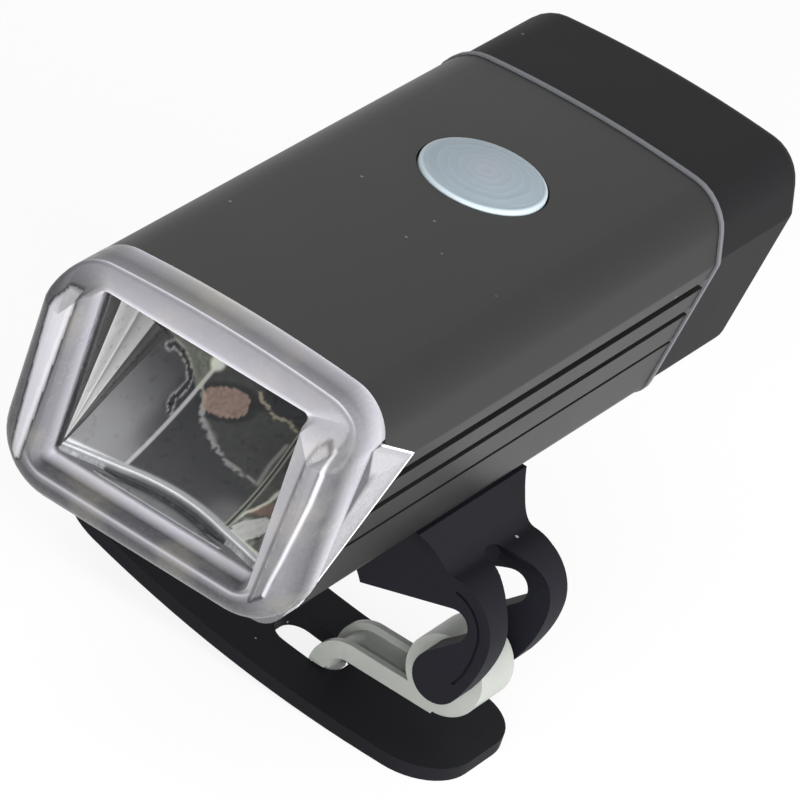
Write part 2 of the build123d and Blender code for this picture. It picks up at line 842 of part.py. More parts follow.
with BuildPart() as swivel_washer:
    with BuildSketch(Plane.XY.offset(bracket_top_z)):
        Circle(washer_radius)
        Circle(swivel_screw_radius + running_gap, mode=Mode.SUBTRACT)
    extrude(amount=swivel_gap - washer_clearance)
swivel_washer.part.label = "swivel_washer"
export_step(swivel_washer.part, "parts/swivel_washer.step")

with BuildPart() as bracket_insert:
    with BuildSketch(Plane.XY.offset(insert_floor_z)):
        Circle(insert_flange_radius)
    extrude(amount=insert_flange_thickness)
    with BuildSketch(Plane.XY.offset(insert_floor_z)):
        Circle(insert_radius)
    extrude(amount=insert_thickness)
    with BuildSketch(Plane.XY.offset(insert_floor_z)):
        Circle(swivel_screw_radius + running_gap)
    extrude(amount=insert_thickness, mode=Mode.SUBTRACT)
bracket_insert.part.label = "bracket_insert"
export_step(bracket_insert.part, "parts/bracket_insert.step")


def on_circle(x, z, radius, angle):
    """Point of a circle in the X-Z plane at an angle from +X towards +Z."""
    turn = math.radians(angle)
    return (x + radius * math.cos(turn), z + radius * math.sin(turn))


rim_z = math.sqrt(bar_radius**2 - saddle_half_width**2)
tip_outer, tip_middle, tip_inner = (
    on_circle(hook_tip_x, hook_tip_z, hook_tip_radius, angle) for angle in hook_tip_angles
)
throat_points = [on_circle(throat_x, throat_z, throat_radius, angle) for angle in throat_angles]

# Arched slot between the two hooks
with BuildPart() as hook_slot:
    with BuildSketch(Plane.XY.offset(-hook_radius)):
        with Locations((hook_gap_start + hook_gap / 2 + hook_radius, 0)):
            Rectangle(2 * hook_radius, hook_gap)
        with Locations((hook_gap_start + hook_gap / 2, 0)):
            Circle(hook_gap / 2)
    extrude(amount=bracket_top_z + hook_radius)
    with BuildSketch(Plane.YZ.offset(hook_gap_start)):
        with Locations((0, hook_gap_top - hook_gap / 2)):
            Circle(hook_gap / 2)
        with Locations((0, (hook_gap_top - hook_gap / 2 - hook_radius) / 2)):
            Rectangle(hook_gap, hook_gap_top - hook_gap / 2 + hook_radius)
    extrude(amount=4 * hook_radius, mode=Mode.INTERSECT)

# Rubber bracket: saddle for the bar, twin hooks for the latch pin and twin lugs for the strap pin
with BuildPart() as rubber_bracket:
    with BuildSketch(Plane.XZ.offset(-bracket_width / 2 - bracket_flare)):
        with BuildLine():
            neck = Spline(
                (bracket_half_length, bracket_top_z),
                (neck_x, neck_z),
                (hook_x, hook_z + hook_radius),
                tangents=[(neck_x - bracket_half_length, neck_z - bracket_top_z), (1, 0)],
            )
            shoulder = ThreePointArc(
                neck @ 1,
                on_circle(hook_x, hook_z, hook_radius, shoulder_angle),
                (hook_x + hook_radius, hook_z),
            )
            hook_back = Spline(
                shoulder @ 1,
                tip_outer,
                tangents=[(0, -1), (tip_outer[1] - hook_tip_z, hook_tip_x - tip_outer[0])],
            )
            hook_tip = ThreePointArc(hook_back @ 1, tip_middle, tip_inner)
            throat = ThreePointArc(*throat_points)
            Line(hook_tip @ 1, throat @ 0)
            Line(throat @ 1, (saddle_half_width, rim_z))
            ThreePointArc((saddle_half_width, rim_z), (0, bar_radius), (-saddle_half_width, rim_z))
            Line((-saddle_half_width, rim_z), (lug_x, lug_z - lug_radius))
            lug = ThreePointArc(
                (lug_x, lug_z - lug_radius),
                (lug_x - lug_radius, lug_z),
                (lug_x, lug_z + lug_radius),
            )
            Polyline(lug @ 1, (lug_neck_x, lug_neck_z), (-bracket_half_length, bracket_top_z), neck @ 0)
        make_face()
    extrude(amount=bracket_width + 2 * bracket_flare)
    with BuildSketch(Plane.YZ.offset(-2 * bracket_half_length)):
        with BuildLine():
            front_flare = ThreePointArc(
                (-bracket_width / 2 - bracket_flare, bracket_top_z),
                (-bracket_width / 2 - bracket_flare_curve, bracket_top_z - bracket_flare_drop / 2),
                (-bracket_width / 2, bracket_top_z - bracket_flare_drop),
            )
            rear_flare = ThreePointArc(
                (bracket_width / 2, bracket_top_z - bracket_flare_drop),
                (bracket_width / 2 + bracket_flare_curve, bracket_top_z - bracket_flare_drop / 2),
                (bracket_width / 2 + bracket_flare, bracket_top_z),
            )
            Polyline(
                front_flare @ 1,
                (-bracket_width / 2, -hook_radius),
                (bracket_width / 2, -hook_radius),
                rear_flare @ 0,
            )
            Line(rear_flare @ 1, front_flare @ 0)
        make_face()
    extrude(amount=4 * bracket_half_length, mode=Mode.INTERSECT)
    add(hook_slot.part, mode=Mode.SUBTRACT)
    with BuildSketch(Plane.XZ.offset(-lug_gap / 2)):
        with Locations((lug_x, lug_z)):
            Circle(lug_radius)
        with Locations((lug_x - lug_radius, lug_z)):
            Rectangle(2 * lug_radius, 2 * lug_radius)
    extrude(amount=lug_gap, mode=Mode.SUBTRACT)
    with BuildSketch(Plane.XZ.offset(-pin_length / 2)):
        with Locations((latch_pin_x, latch_pin_z), (lug_x, lug_z)):
            Circle(pin_radius + pin_fit)
    extrude(amount=pin_length, mode=Mode.SUBTRACT)
    with BuildSketch(Plane.XY.offset(insert_floor_z)):
        Circle(insert_flange_radius)
    extrude(amount=insert_flange_thickness, mode=Mode.SUBTRACT)
    with BuildSketch(Plane.XY.offset(insert_floor_z)):
        Circle(insert_radius)
    extrude(amount=insert_thickness, mode=Mode.SUBTRACT)
    with BuildSketch(Plane.XY.offset(nut_floor_z - nut_clearance)):
        Circle(swivel_nut_radius + nut_clearance)
    extrude(amount=insert_floor_z - nut_floor_z + nut_clearance, mode=Mode.SUBTRACT)
rubber_bracket.part.label = "rubber_bracket"
export_step(rubber_bracket.part, "parts/rubber_bracket.step")

for name, pin_x, pin_z in (("latch_pin", latch_pin_x, latch_pin_z), ("strap_pin", lug_x, lug_z)):
    with BuildPart() as pin:
        with BuildSketch(Plane.XZ.offset(-pin_length / 2)):
            with Locations((pin_x, pin_z)):
                Circle(pin_radius)
        extrude(amount=pin_length)
    pin.part.label = name
    export_step(pin.part, f"parts/{name}.step")

# Latch hook: a barrel on the latch pin, a channelled arm and a leg that drops into the strap's slot
arm_floor_z = arm_top_z - arm_thickness
bend_z = arm_top_z - bend_radius
bend_inner = bend_radius - arm_thickness
channel_radius = bend_radius - channel_depth
with BuildPart() as latch_hook:
    with BuildSketch(Plane.XZ.offset(-latch_width / 2)):
        with BuildLine():
            outer_bend = ThreePointArc(
                (bend_x, arm_top_z),
                on_circle(bend_x, bend_z, bend_radius, bend_angle),
                (bend_x - bend_radius, bend_z),
            )
            inner_bend = ThreePointArc(
                (bend_x - bend_inner, bend_z),
                on_circle(bend_x, bend_z, bend_inner, bend_angle),
                (bend_x, arm_floor_z),
            )
            Line(outer_bend @ 1, inner_bend @ 0)
            Polyline(inner_bend @ 1, (barrel_x, arm_floor_z), (barrel_x, arm_top_z), outer_bend @ 0)
        make_face()
        with Locations((barrel_x, barrel_z)):
            Circle(barrel_radius)
        with Locations((latch_pin_x, latch_pin_z)):
            Circle(pin_radius + running_gap, mode=Mode.SUBTRACT)
    extrude(amount=latch_width)
    with BuildSketch(Plane.XZ.offset(channel_rim - latch_width / 2)):
        with BuildLine():
            channel_bend = ThreePointArc(
                (bend_x - channel_radius, bend_z),
                on_circle(bend_x, bend_z, channel_radius, bend_angle),
                (bend_x, arm_top_z - channel_depth),
            )
            Polyline(
                channel_bend @ 1,
                (barrel_x - barrel_radius, arm_top_z - channel_depth),
                (barrel_x - barrel_radius, arm_top_z + channel_depth),
                (bend_x - bend_radius, arm_top_z + channel_depth),
                (bend_x - bend_radius, bend_z),
                channel_bend @ 0,
            )
        make_face()
    extrude(amount=latch_width - 2 * channel_rim, mode=Mode.SUBTRACT)
    with BuildSketch(Plane.XY.offset(bend_z)):
        with Locations((bend_x - bend_radius + arm_thickness / 2, 0)):
            Rectangle(arm_thickness, hook_leg_width)
    extrude(amount=-hook_leg_length)
latch_hook.part.label = "latch_hook"
export_step(latch_hook.part, "parts/latch_hook.step")

# Strap: a rubber band from the strap pin, round under the bar, to a tip that hangs free
rise_angle = 2 * math.atan2(strap_rise_z - strap_tip_z, strap_flat_x - strap_rise_x)
turn_radius = (lug_z - strap_rise_z) / (1 + math.cos(rise_angle))
turn_x = strap_rise_x + turn_radius * math.sin(rise_angle)
with BuildPart() as strap:
    with BuildLine(Plane.XZ) as strap_path:
        tip_run = Line((strap_tip_x, strap_tip_z), (strap_flat_x, strap_tip_z))
        under_run = TangentArc(tip_run @ 1, (strap_rise_x, strap_rise_z), tangent=(-1, 0))
        turn_run = ThreePointArc(under_run @ 1, (turn_x - turn_radius, lug_z - turn_radius), (turn_x, lug_z))
        Line(turn_run @ 1, (lug_x, lug_z))
    with BuildSketch(Plane.YZ.offset(strap_tip_x)):
        with Locations((0, strap_tip_z)):
            Rectangle(strap_width, strap_thickness)
    sweep(path=strap_path.line)
    fillet(strap.edges().filter_by(Axis.Z).group_by(Axis.X)[-1], strap_tip_corner)
    with BuildSketch(Plane.YZ.offset(turn_x - turn_radius - strap_thickness)):
        with BuildLine():
            Polyline(
                (-strap_width / 2, strap_tip_z - strap_thickness),
                (-strap_width / 2, strap_taper_start_z),
                (-strap_neck_width / 2, strap_taper_end_z),
                (-strap_neck_width / 2, lug_z + strap_eye_radius),
                (strap_neck_width / 2, lug_z + strap_eye_radius),
                (strap_neck_width / 2, strap_taper_end_z),
                (strap_width / 2, strap_taper_start_z),
                (strap_width / 2, strap_tip_z - strap_thickness),
                close=True,
            )
        make_face()
    extrude(amount=strap_tip_x - turn_x + turn_radius + 2 * strap_thickness, mode=Mode.INTERSECT)
    with BuildSketch(Plane.XZ.offset(-strap_neck_width / 2)):
        with Locations((lug_x, lug_z)):
            Circle(strap_eye_radius)
    extrude(amount=strap_neck_width)
    with BuildSketch(Plane.XZ.offset(-strap_neck_width / 2)):
        with Locations((lug_x, lug_z)):
            Circle(pin_radius + pin_fit)
    extrude(amount=strap_neck_width, mode=Mode.SUBTRACT)
    with BuildSketch(Plane.XY.offset(strap_tip_z - strap_thickness)):
        with Locations(((slot_start_x + slot_end_x) / 2, 0)):
            RectangleRounded(slot_end_x - slot_start_x, slot_width, slot_corner_radius)
    extrude(amount=-strap_tip_z, mode=Mode.SUBTRACT)
strap.part.label = "strap"
export_step(strap.part, "parts/strap.step")
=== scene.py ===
import json
import math
import bpy
from mathutils import Matrix, Vector, noise


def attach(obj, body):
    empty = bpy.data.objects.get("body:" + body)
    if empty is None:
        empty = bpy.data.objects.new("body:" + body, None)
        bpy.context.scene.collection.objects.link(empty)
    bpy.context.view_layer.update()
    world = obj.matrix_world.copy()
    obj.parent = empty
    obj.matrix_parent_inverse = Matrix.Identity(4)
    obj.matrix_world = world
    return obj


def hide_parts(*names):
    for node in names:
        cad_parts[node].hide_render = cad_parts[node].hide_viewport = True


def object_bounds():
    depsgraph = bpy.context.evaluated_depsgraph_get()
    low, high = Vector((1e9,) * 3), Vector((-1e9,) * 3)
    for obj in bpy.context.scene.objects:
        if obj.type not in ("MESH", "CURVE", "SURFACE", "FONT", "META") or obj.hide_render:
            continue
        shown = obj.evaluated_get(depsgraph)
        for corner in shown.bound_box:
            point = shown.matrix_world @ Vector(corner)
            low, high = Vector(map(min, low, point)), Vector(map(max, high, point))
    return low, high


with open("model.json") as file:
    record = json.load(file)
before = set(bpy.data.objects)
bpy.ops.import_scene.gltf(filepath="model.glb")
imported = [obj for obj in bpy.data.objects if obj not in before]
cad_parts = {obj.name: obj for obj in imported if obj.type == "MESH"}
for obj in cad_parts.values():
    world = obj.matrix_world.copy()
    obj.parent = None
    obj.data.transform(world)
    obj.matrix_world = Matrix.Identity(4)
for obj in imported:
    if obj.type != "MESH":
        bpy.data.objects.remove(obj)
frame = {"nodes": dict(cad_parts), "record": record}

# sizes and places are in millimetres, and become metres where they enter a mesh
mm = 0.001
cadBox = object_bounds()


def deselect():
    if bpy.context.mode != "OBJECT":
        bpy.ops.object.mode_set(mode="OBJECT")
    bpy.ops.object.select_all(action="DESELECT")


def pick(piece):
    deselect()
    piece.select_set(True)
    bpy.context.view_layer.objects.active = piece


def editAll(piece):
    # into edit mode with everything selected; deselect leaves it again
    pick(piece)
    bpy.ops.object.mode_set(mode="EDIT")
    bpy.ops.mesh.select_all(action="SELECT")


def applied(piece, kind, **settings):
    # one modifier, added and applied
    pick(piece)
    modifier = piece.modifiers.new("step", kind)
    for label, value in settings.items():
        setattr(modifier, label, value)
    bpy.ops.object.modifier_apply(modifier=modifier.name)


def between(start, end, share):
    return start + (end - start) * share


def mixed(start, end, share):
    return tuple(between(first, second, share) for first, second in zip(start, end))


def stepped(value, low, high):
    # a soft step from 0 at low to 1 at high
    share = min(1.0, max(0.0, (value - low) / (high - low)))
    return share * share * (3 - 2 * share)


def arc(x, z, radius, start, end, steps):
    # degrees from +X towards +Z
    turns = [math.radians(start + (end - start) * i / steps) for i in range(steps + 1)]
    return [(x + radius * math.cos(turn), z + radius * math.sin(turn)) for turn in turns]


def glide(start, startPull, endPull, end, steps):
    # a free curve between two points, bent by a pull at each end
    points = []
    for i in range(steps + 1):
        share = i / steps
        rest = 1 - share
        weights = (rest**3, 3 * share * rest**2, 3 * share * share * rest, share**3)
        knots = list(zip(weights, (start, startPull, endPull, end)))
        points.append(tuple(sum(weight * knot[axis] for weight, knot in knots) for axis in (0, 1)))
    return points


def threePointArc(start, through, end, steps):
    # circle through three places, given along it
    (ax, ay), (bx, by), (cx, cy) = start, through, end
    first, middle, last = ax**2 + ay**2, bx**2 + by**2, cx**2 + cy**2
    double = 2 * (ax * (by - cy) + bx * (cy - ay) + cx * (ay - by))
    x = (first * (by - cy) + middle * (cy - ay) + last * (ay - by)) / double
    y = (first * (cx - bx) + middle * (ax - cx) + last * (bx - ax)) / double
    begin, stop = math.atan2(ay - y, ax - x), math.atan2(cy - y, cx - x)
    turn = (stop - begin + math.pi) % (2 * math.pi) - math.pi
    return arc(x, y, math.hypot(ax - x, ay - y), math.degrees(begin), math.degrees(begin + turn), steps)


def circle(x, z, radius, steps):
    return arc(x, z, radius, 0, 360 - 360 / steps, steps - 1)


def plate(left, low, right, top, radius=0.0):
    return [(left, low, radius), (right, low, radius), (right, top, radius), (left, top, radius)]


def cornerAt(corners, i):
    # a corner, the directions to its two neighbours and half the angle between them
    corner = Vector(corners[i][:2])
    before = (Vector(corners[i - 1][:2]) - corner).normalized()
    after = (Vector(corners[(i + 1) % len(corners)][:2]) - corner).normalized()
    return corner, before, after, before.angle(after) / 2


def rounded(corners, steps=6, sharpBelow=0.1):
    # each corner (u, v, radius) becomes an arc that touches both its sides
    points = []
    for i, (u, v, radius) in enumerate(corners):
        if radius < sharpBelow:
            points.append((u, v))
            continue
        corner, before, after, half = cornerAt(corners, i)
        reach = radius / math.tan(half)
        centre = corner + (before + after).normalized() * radius / math.sin(half)
        enter, leave = corner + before * reach - centre, corner + after * reach - centre
        first = math.atan2(enter.y, enter.x)
        turn = (math.atan2(leave.y, leave.x) - first + math.pi) % (2 * math.pi) - math.pi
        for k in range(steps + 1):
            angle = first + turn * k / steps
            points.append((centre.x + radius * math.cos(angle), centre.y + radius * math.sin(angle)))
    return points


def drawnIn(corners, inset, leastRadius=0.02):
    # moves the sides of an outline inwards and makes its corner radii smaller
    moved = []
    for i in range(len(corners)):
        corner, before, after, half = cornerAt(corners, i)
        place = corner + (before + after).normalized() * inset / math.sin(half)
        moved.append((place.x, place.y, max(leastRadius, corners[i][2] - inset)))
    return moved


def placed(axis, along, u, v):
    # u and v are the other two axes in X, Y, Z order
    if axis == "X":
        return Vector((along, u, v)) * mm
    if axis == "Y":
        return Vector((u, along, v)) * mm
    return Vector((u, v, along)) * mm


def prism(name, outline, axis, start, end):
    deselect()
    bpy.ops.mesh.primitive_circle_add(vertices=len(outline), radius=mm, fill_type="NGON")
    piece = bpy.context.object
    piece.name = piece.data.name = name
    for vertex, (u, v) in zip(piece.data.vertices, outline):
        vertex.co = placed(axis, start, u, v)
    editAll(piece)
    bpy.ops.mesh.extrude_region_move(TRANSFORM_OT_translate={"value": placed(axis, end - start, 0, 0)})
    bpy.ops.mesh.select_all(action="SELECT")
    bpy.ops.mesh.normals_make_consistent(inside=False)
    deselect()
    return piece


def wrapped(name, loops, paintedLights=None, closed=True):
    # a skin over a stack of loops with equal counts; the colours given go to each of their points as painted
    # light and shade
    around = len(loops[0])
    columns = around + 1 if closed else around
    deselect()
    bpy.ops.mesh.primitive_grid_add(x_subdivisions=columns - 1, y_subdivisions=len(loops) - 1, size=mm)
    piece = bpy.context.object
    piece.name = piece.data.name = name
    spots = [(row, column % around) for row in range(len(loops)) for column in range(columns)]
    for vertex, (row, column) in zip(piece.data.vertices, spots):
        vertex.co = Vector(loops[row][column]) * mm
    if paintedLights:
        colours = piece.data.color_attributes.new("tone", "FLOAT_COLOR", "POINT")
        for entry, (row, column) in zip(colours.data, spots):
            entry.color = (*paintedLights[row][column], 1)
    editAll(piece)
    bpy.ops.mesh.remove_doubles(threshold=0.0005 * mm)
    if closed:
        bpy.ops.mesh.select_all(action="SELECT")
        bpy.ops.mesh.fill_holes(sides=0)
        bpy.ops.mesh.select_all(action="SELECT")
        bpy.ops.mesh.normals_make_consistent(inside=False)
    deselect()
    return piece


def turned(name, profile, x, y, steps=64):
    # a lathe piece about an upright axis, from rings (radius, z)
    turns = [2 * math.pi * k / steps for k in range(steps)]
    return wrapped(name, [[(x + radius * math.cos(turn), y + radius * math.sin(turn), z) for turn in turns]
                          for radius, z in profile])


def domed(name, outline, start, end, radius, steps=8):
    # a wall along Y from an outline that takes an inset, closed by a rounded end
    rings = [(start, 0.0), (end - radius, 0.0)]
    for k in range(1, steps + 1):
        turn = math.radians(90 * k / steps)
        rings.append((end - radius * (1 - math.sin(turn)), radius * (1 - math.cos(turn))))
    loops = [[(x, y, z) for x, z in outline(inset)] for y, inset in rings]
    middle = sum((Vector(place) for place in loops[-1]), Vector()) / len(loops[-1])
    for share in (0.8, 0.6, 0.4, 0.2):
        loops.append([middle + (Vector(place) - middle) * share for place in loops[len(rings) - 1]])
    return wrapped(name, loops)


def cut(piece, cutter, operation="DIFFERENCE"):
    applied(piece, "BOOLEAN", operation=operation, solver="EXACT", object=cutter)
    bpy.data.objects.remove(cutter)


def soften(piece, width, segments=3, angle=32, ribbonSides=24):
    # rounds the sharp edges, after the long ribbon faces are split so that they stay flat
    editAll(piece)
    bpy.ops.mesh.remove_doubles(threshold=0.01 * mm)
    bpy.ops.mesh.select_mode(type="FACE")
    bpy.ops.mesh.select_all(action="DESELECT")
    bpy.ops.mesh.select_face_by_sides(number=ribbonSides, type="GREATER")
    bpy.ops.mesh.quads_convert_to_tris(quad_method="BEAUTY", ngon_method="BEAUTY")
    applied(piece, "BEVEL", width=width * mm, segments=segments, limit_method="ANGLE",
            angle_limit=math.radians(angle), use_clamp_overlap=True)


def done(piece, body, slot, node, look=None, angle=32, weighted=True):
    pick(piece)
    bpy.ops.object.shade_smooth_by_angle(angle=math.radians(angle))
    if weighted:
        applied(piece, "WEIGHTED_NORMAL", keep_sharp=True)
    piece.data.materials.clear()
    piece.data.materials.append(look or looks[slot])
    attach(piece, body)
    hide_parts(node)


screenPower = 2.2
lensWhite, wingWhite, edgeWhite, mirrorWhite = 0.62, 0.44, 0.9, 0.95


def fromScreen(level, tint=(1, 1, 1), white=lensWhite):
    # albedo for a grey that reads as level (0 to 255) under the studio light
    return tuple(white * (level / 255) ** screenPower * part for part in tint)


def operator(operation, swapped=False):
    def method(wire, other):
        first, second = (other, wire) if swapped else (wire, other)
        return wire.tree.add("ShaderNodeMath", {"operation": operation}, {0: first, 1: second})
    return method


class Wire:
    # one output of a node, which can be used in sums
    def __init__(self, tree, socket):
        self.tree, self.socket = tree, socket

    def __getitem__(self, label):
        return Wire(self.tree, self.socket.node.outputs[label])

    __add__ = __radd__ = operator("ADD")
    __sub__, __rsub__ = operator("SUBTRACT"), operator("SUBTRACT", True)
    __mul__ = __rmul__ = operator("MULTIPLY")
    __gt__, __lt__ = operator("GREATER_THAN"), operator("LESS_THAN")
    __pow__ = operator("POWER")


class Tree:
    def __init__(self, owner):
        owner.use_nodes = True
        self.nodes, self.links = owner.node_tree.nodes, owner.node_tree.links

    def join(self, value, socket):
        if isinstance(value, Wire):
            self.links.new(value.socket, socket)
        else:
            socket.default_value = value

    def add(self, kind, settings=None, sockets=None, output=0):
        node = self.nodes.new(kind)
        for label, value in (settings or {}).items():
            setattr(node, label, value)
        for label, value in (sockets or {}).items():
            self.join(value, node.inputs[label])
        return Wire(self, node.outputs[output])

    def seen(self):
        # 1 for what the camera, a reflection or a clear piece shows, 0 for what only lights the scene
        rays = self.add("ShaderNodeLightPath")
        return (rays["Is Camera Ray"] + rays["Is Glossy Ray"] + rays["Is Transmission Ray"]) > 0.5


class Look(Tree):
    def __init__(self, name, **values):
        self.material = bpy.data.materials.new(name)
        super().__init__(self.material)
        self.shader = self.nodes["Principled BSDF"]
        for label, value in values.items():
            self.put(label.replace("_", " "), value)

    def put(self, label, value):
        self.join(value, self.shader.inputs[label])

    def place(self):
        return self.add("ShaderNodeTexCoord", output="Object")

    def noise(self, scale, detail=3.0, roughness=0.5, distortion=0.0):
        sockets = {"Scale": scale, "Detail": detail, "Roughness": roughness, "Distortion": distortion}
        return self.add("ShaderNodeTexNoise", {}, {"Vector": self.place(), **sockets})

    def mix(self, factor, first, second):
        sockets = {0: factor, 6: first, 7: second}
        return self.add("ShaderNodeMix", {"data_type": "RGBA"}, sockets, output=2)

    def ramp(self, value, low, high):
        # 0 below low, 1 above high
        return self.add("ShaderNodeMapRange", {}, {"Value": value, "From Min": low, "From Max": high})

    def specks(self, scale, size, share):
        # small dust specks on a loose grid of cells, with most of the cells left empty
        cells = self.add("ShaderNodeTexVoronoi", {}, {"Vector": self.place(), "Scale": scale})
        chance = self.add("ShaderNodeSeparateColor", {}, {0: cells["Color"]})
        return (cells < size) * (chance > share)

    def tone(self):
        return self.add("ShaderNodeAttribute", {"attribute_name": "tone"}, output="Color")

    def bump(self, height, strength, distance):
        sockets = {"Strength": strength, "Distance": distance * mm, "Height": height}
        self.put("Normal", self.add("ShaderNodeBump", {}, sockets))


def dustyLook(name, finish, **values):
    # faint clouds between two near shades, dust specks and a fine grain
    look = Look(name, **values)
    clouds, dust = look.noise(*finish["clouds"]), look.specks(*finish["dust"])
    shade = look.mix(clouds, (*finish["dark"], 1), (*finish["light"], 1))
    look.put("Base Color", look.mix(dust * finish["dustStrength"], shade, (*finish["dustColour"], 1)))
    look.put("Roughness", clouds * finish["change"] + finish["roughness"] + dust * finish["dustRough"])
    look.bump(look.noise(*finish["grain"]), *finish["relief"])
    return look.material


anodised = {
    "clouds": (90, 4), "dark": (0.007, 0.0068, 0.0066), "light": (0.0115, 0.011, 0.0106),
    "dust": (560, 0.09, 0.93), "dustStrength": 0.55, "dustColour": (0.3, 0.3, 0.31), "dustRough": 0.3,
    "change": 0.1, "roughness": 0.38, "grain": (5200, 2), "relief": (0.16, 0.04),
}
matteCap = {
    "clouds": (120, 3), "dark": (0.006, 0.006, 0.0066), "light": (0.010, 0.0098, 0.0112),
    "dust": (300, 0.06, 0.93), "dustStrength": 0.4, "dustColour": (0.25, 0.25, 0.27), "dustRough": 0.0,
    "change": 0.1, "roughness": 0.52, "grain": (4200, 3), "relief": (0.25, 0.06),
}


def rubberFinish(blue):
    return {
        "clouds": (70, 4), "dark": (0.0035, 0.0036, 0.005 * blue), "light": (0.0075, 0.0078, 0.0102 * blue),
        "dust": (430, 0.085, 0.88), "dustStrength": 0.7, "dustColour": (0.4, 0.41, 0.44), "dustRough": 0.0,
        "change": 0.12, "roughness": 0.56, "grain": (3000, 3), "relief": (0.3, 0.08),
    }


def clearMoulding():
    # thick clear plastic: milky to look at, with its bright and dark lines painted in a colour attribute as
    # highlights and shade
    look = Look("clearLens", IOR=1.47, Specular_IOR_Level=0.16)
    grain, frost = look.noise(700, 3), look.noise(2600, 2)
    patches = look.ramp(look.noise(160, 3), 0.52, 0.66)
    frosted, yellowed = (0.3, 0.3, 0.33, 1), (0.42, 0.39, 0.30, 1)
    toned = look.mix(frost * 0.12, look.tone(), frosted)
    look.put("Base Color", look.mix(patches * 0.12, toned, yellowed))
    look.put("Roughness", grain * 0.3 + 0.1)
    look.bump(grain + frost * 0.5, 0.35, 0.12)
    return look.material


def windowPane():
    # clear and thin: only its gloss shows, more of it at a glancing angle
    look = Look("windowPane", Metallic=1.0, Base_Color=(0.93, 0.94, 1.0, 1))
    waves = look.noise(70, 2)
    look.put("Roughness", waves * 0.04 + 0.01)
    look.put("Alpha", look.add("ShaderNodeFresnel", {}, {"IOR": 1.4}) * 0.22)
    look.bump(waves, 0.05, 0.4)
    return look.material


def mirrorMetal():
    # plated plastic under old lacquer; a colour attribute holds its light and dark fields, painted
    # reflections and painted shade
    look = Look("reflectorMetal", Metallic=0.1, Specular_IOR_Level=0.3)
    pits, veil = look.noise(900, 3), look.noise(220, 3)
    veilGrey = (0.2, 0.21, 0.22, 1)
    look.put("Base Color", look.mix(veil * 0.14, look.tone(), veilGrey))
    look.put("Roughness", pits * 0.2 + 0.2)
    look.bump(veil + pits * 0.2, 0.10, 0.25)
    return look.material


def siliconeButton(centreY, radius):
    # moulded silicone: flow rings round the middle, a pinkish heart and a lighter rim
    look = Look("buttonSilicone", Subsurface_Weight=0.25, Subsurface_Radius=(0.002, 0.0024, 0.003),
                Specular_IOR_Level=0.4)
    bodyGrey, heartGrey = (0.25, 0.305, 0.345, 1), (0.275, 0.31, 0.355, 1)
    ringGrey, rimGrey = (0.42, 0.47, 0.5, 1), (0.60, 0.68, 0.72, 1)
    ringsPerMetre = 6200
    split = look.add("ShaderNodeSeparateXYZ", {}, {0: look.place()})
    x, y = split["X"], split["Y"] - centreY
    flow = look.noise(190, 2, 0.5, 1.2)
    reach = (x * x + y * y) ** 0.5
    rings = look.add("ShaderNodeMath", {"operation": "SINE"}, {0: reach * ringsPerMetre + flow * 6})
    heart = look.ramp(reach + flow * (2.0 * mm), 0.72 * radius, 0.30 * radius)
    rim = look.ramp(reach, 0.93 * radius, 0.97 * radius)
    shade = look.mix(heart, bodyGrey, heartGrey)
    shade = look.mix(look.ramp(rings, 0.8, 1.0) * 0.16, shade, ringGrey)
    look.put("Base Color", look.mix(rim * 0.55, shade, rimGrey))
    look.put("Roughness", flow * 0.2 + 0.3)
    look.bump(rings * 0.3 + flow, 0.12, 0.2)
    return look.material


def plainLook(name, colour, roughness, scale=800, change=0.25, **values):
    look = Look(name, **values)
    grain = look.noise(scale, 3)
    look.put("Base Color", look.mix(grain, (*[part * (1 - change) for part in colour], 1), (*colour, 1)))
    look.put("Roughness", grain * (roughness * 0.3) + roughness * 0.85)
    look.bump(grain, 0.1, 0.05)
    return look.material


button = {
    "radius": 6.6, "centreY": 10.25, "rim": 42.637, "dome": 0.55, "edge": 0.4, "flange": 7.8,
    "flangeTop": 40.27, "flangeFloor": 39.37, "stem": 2.2, "stemEnd": 38.02,
}

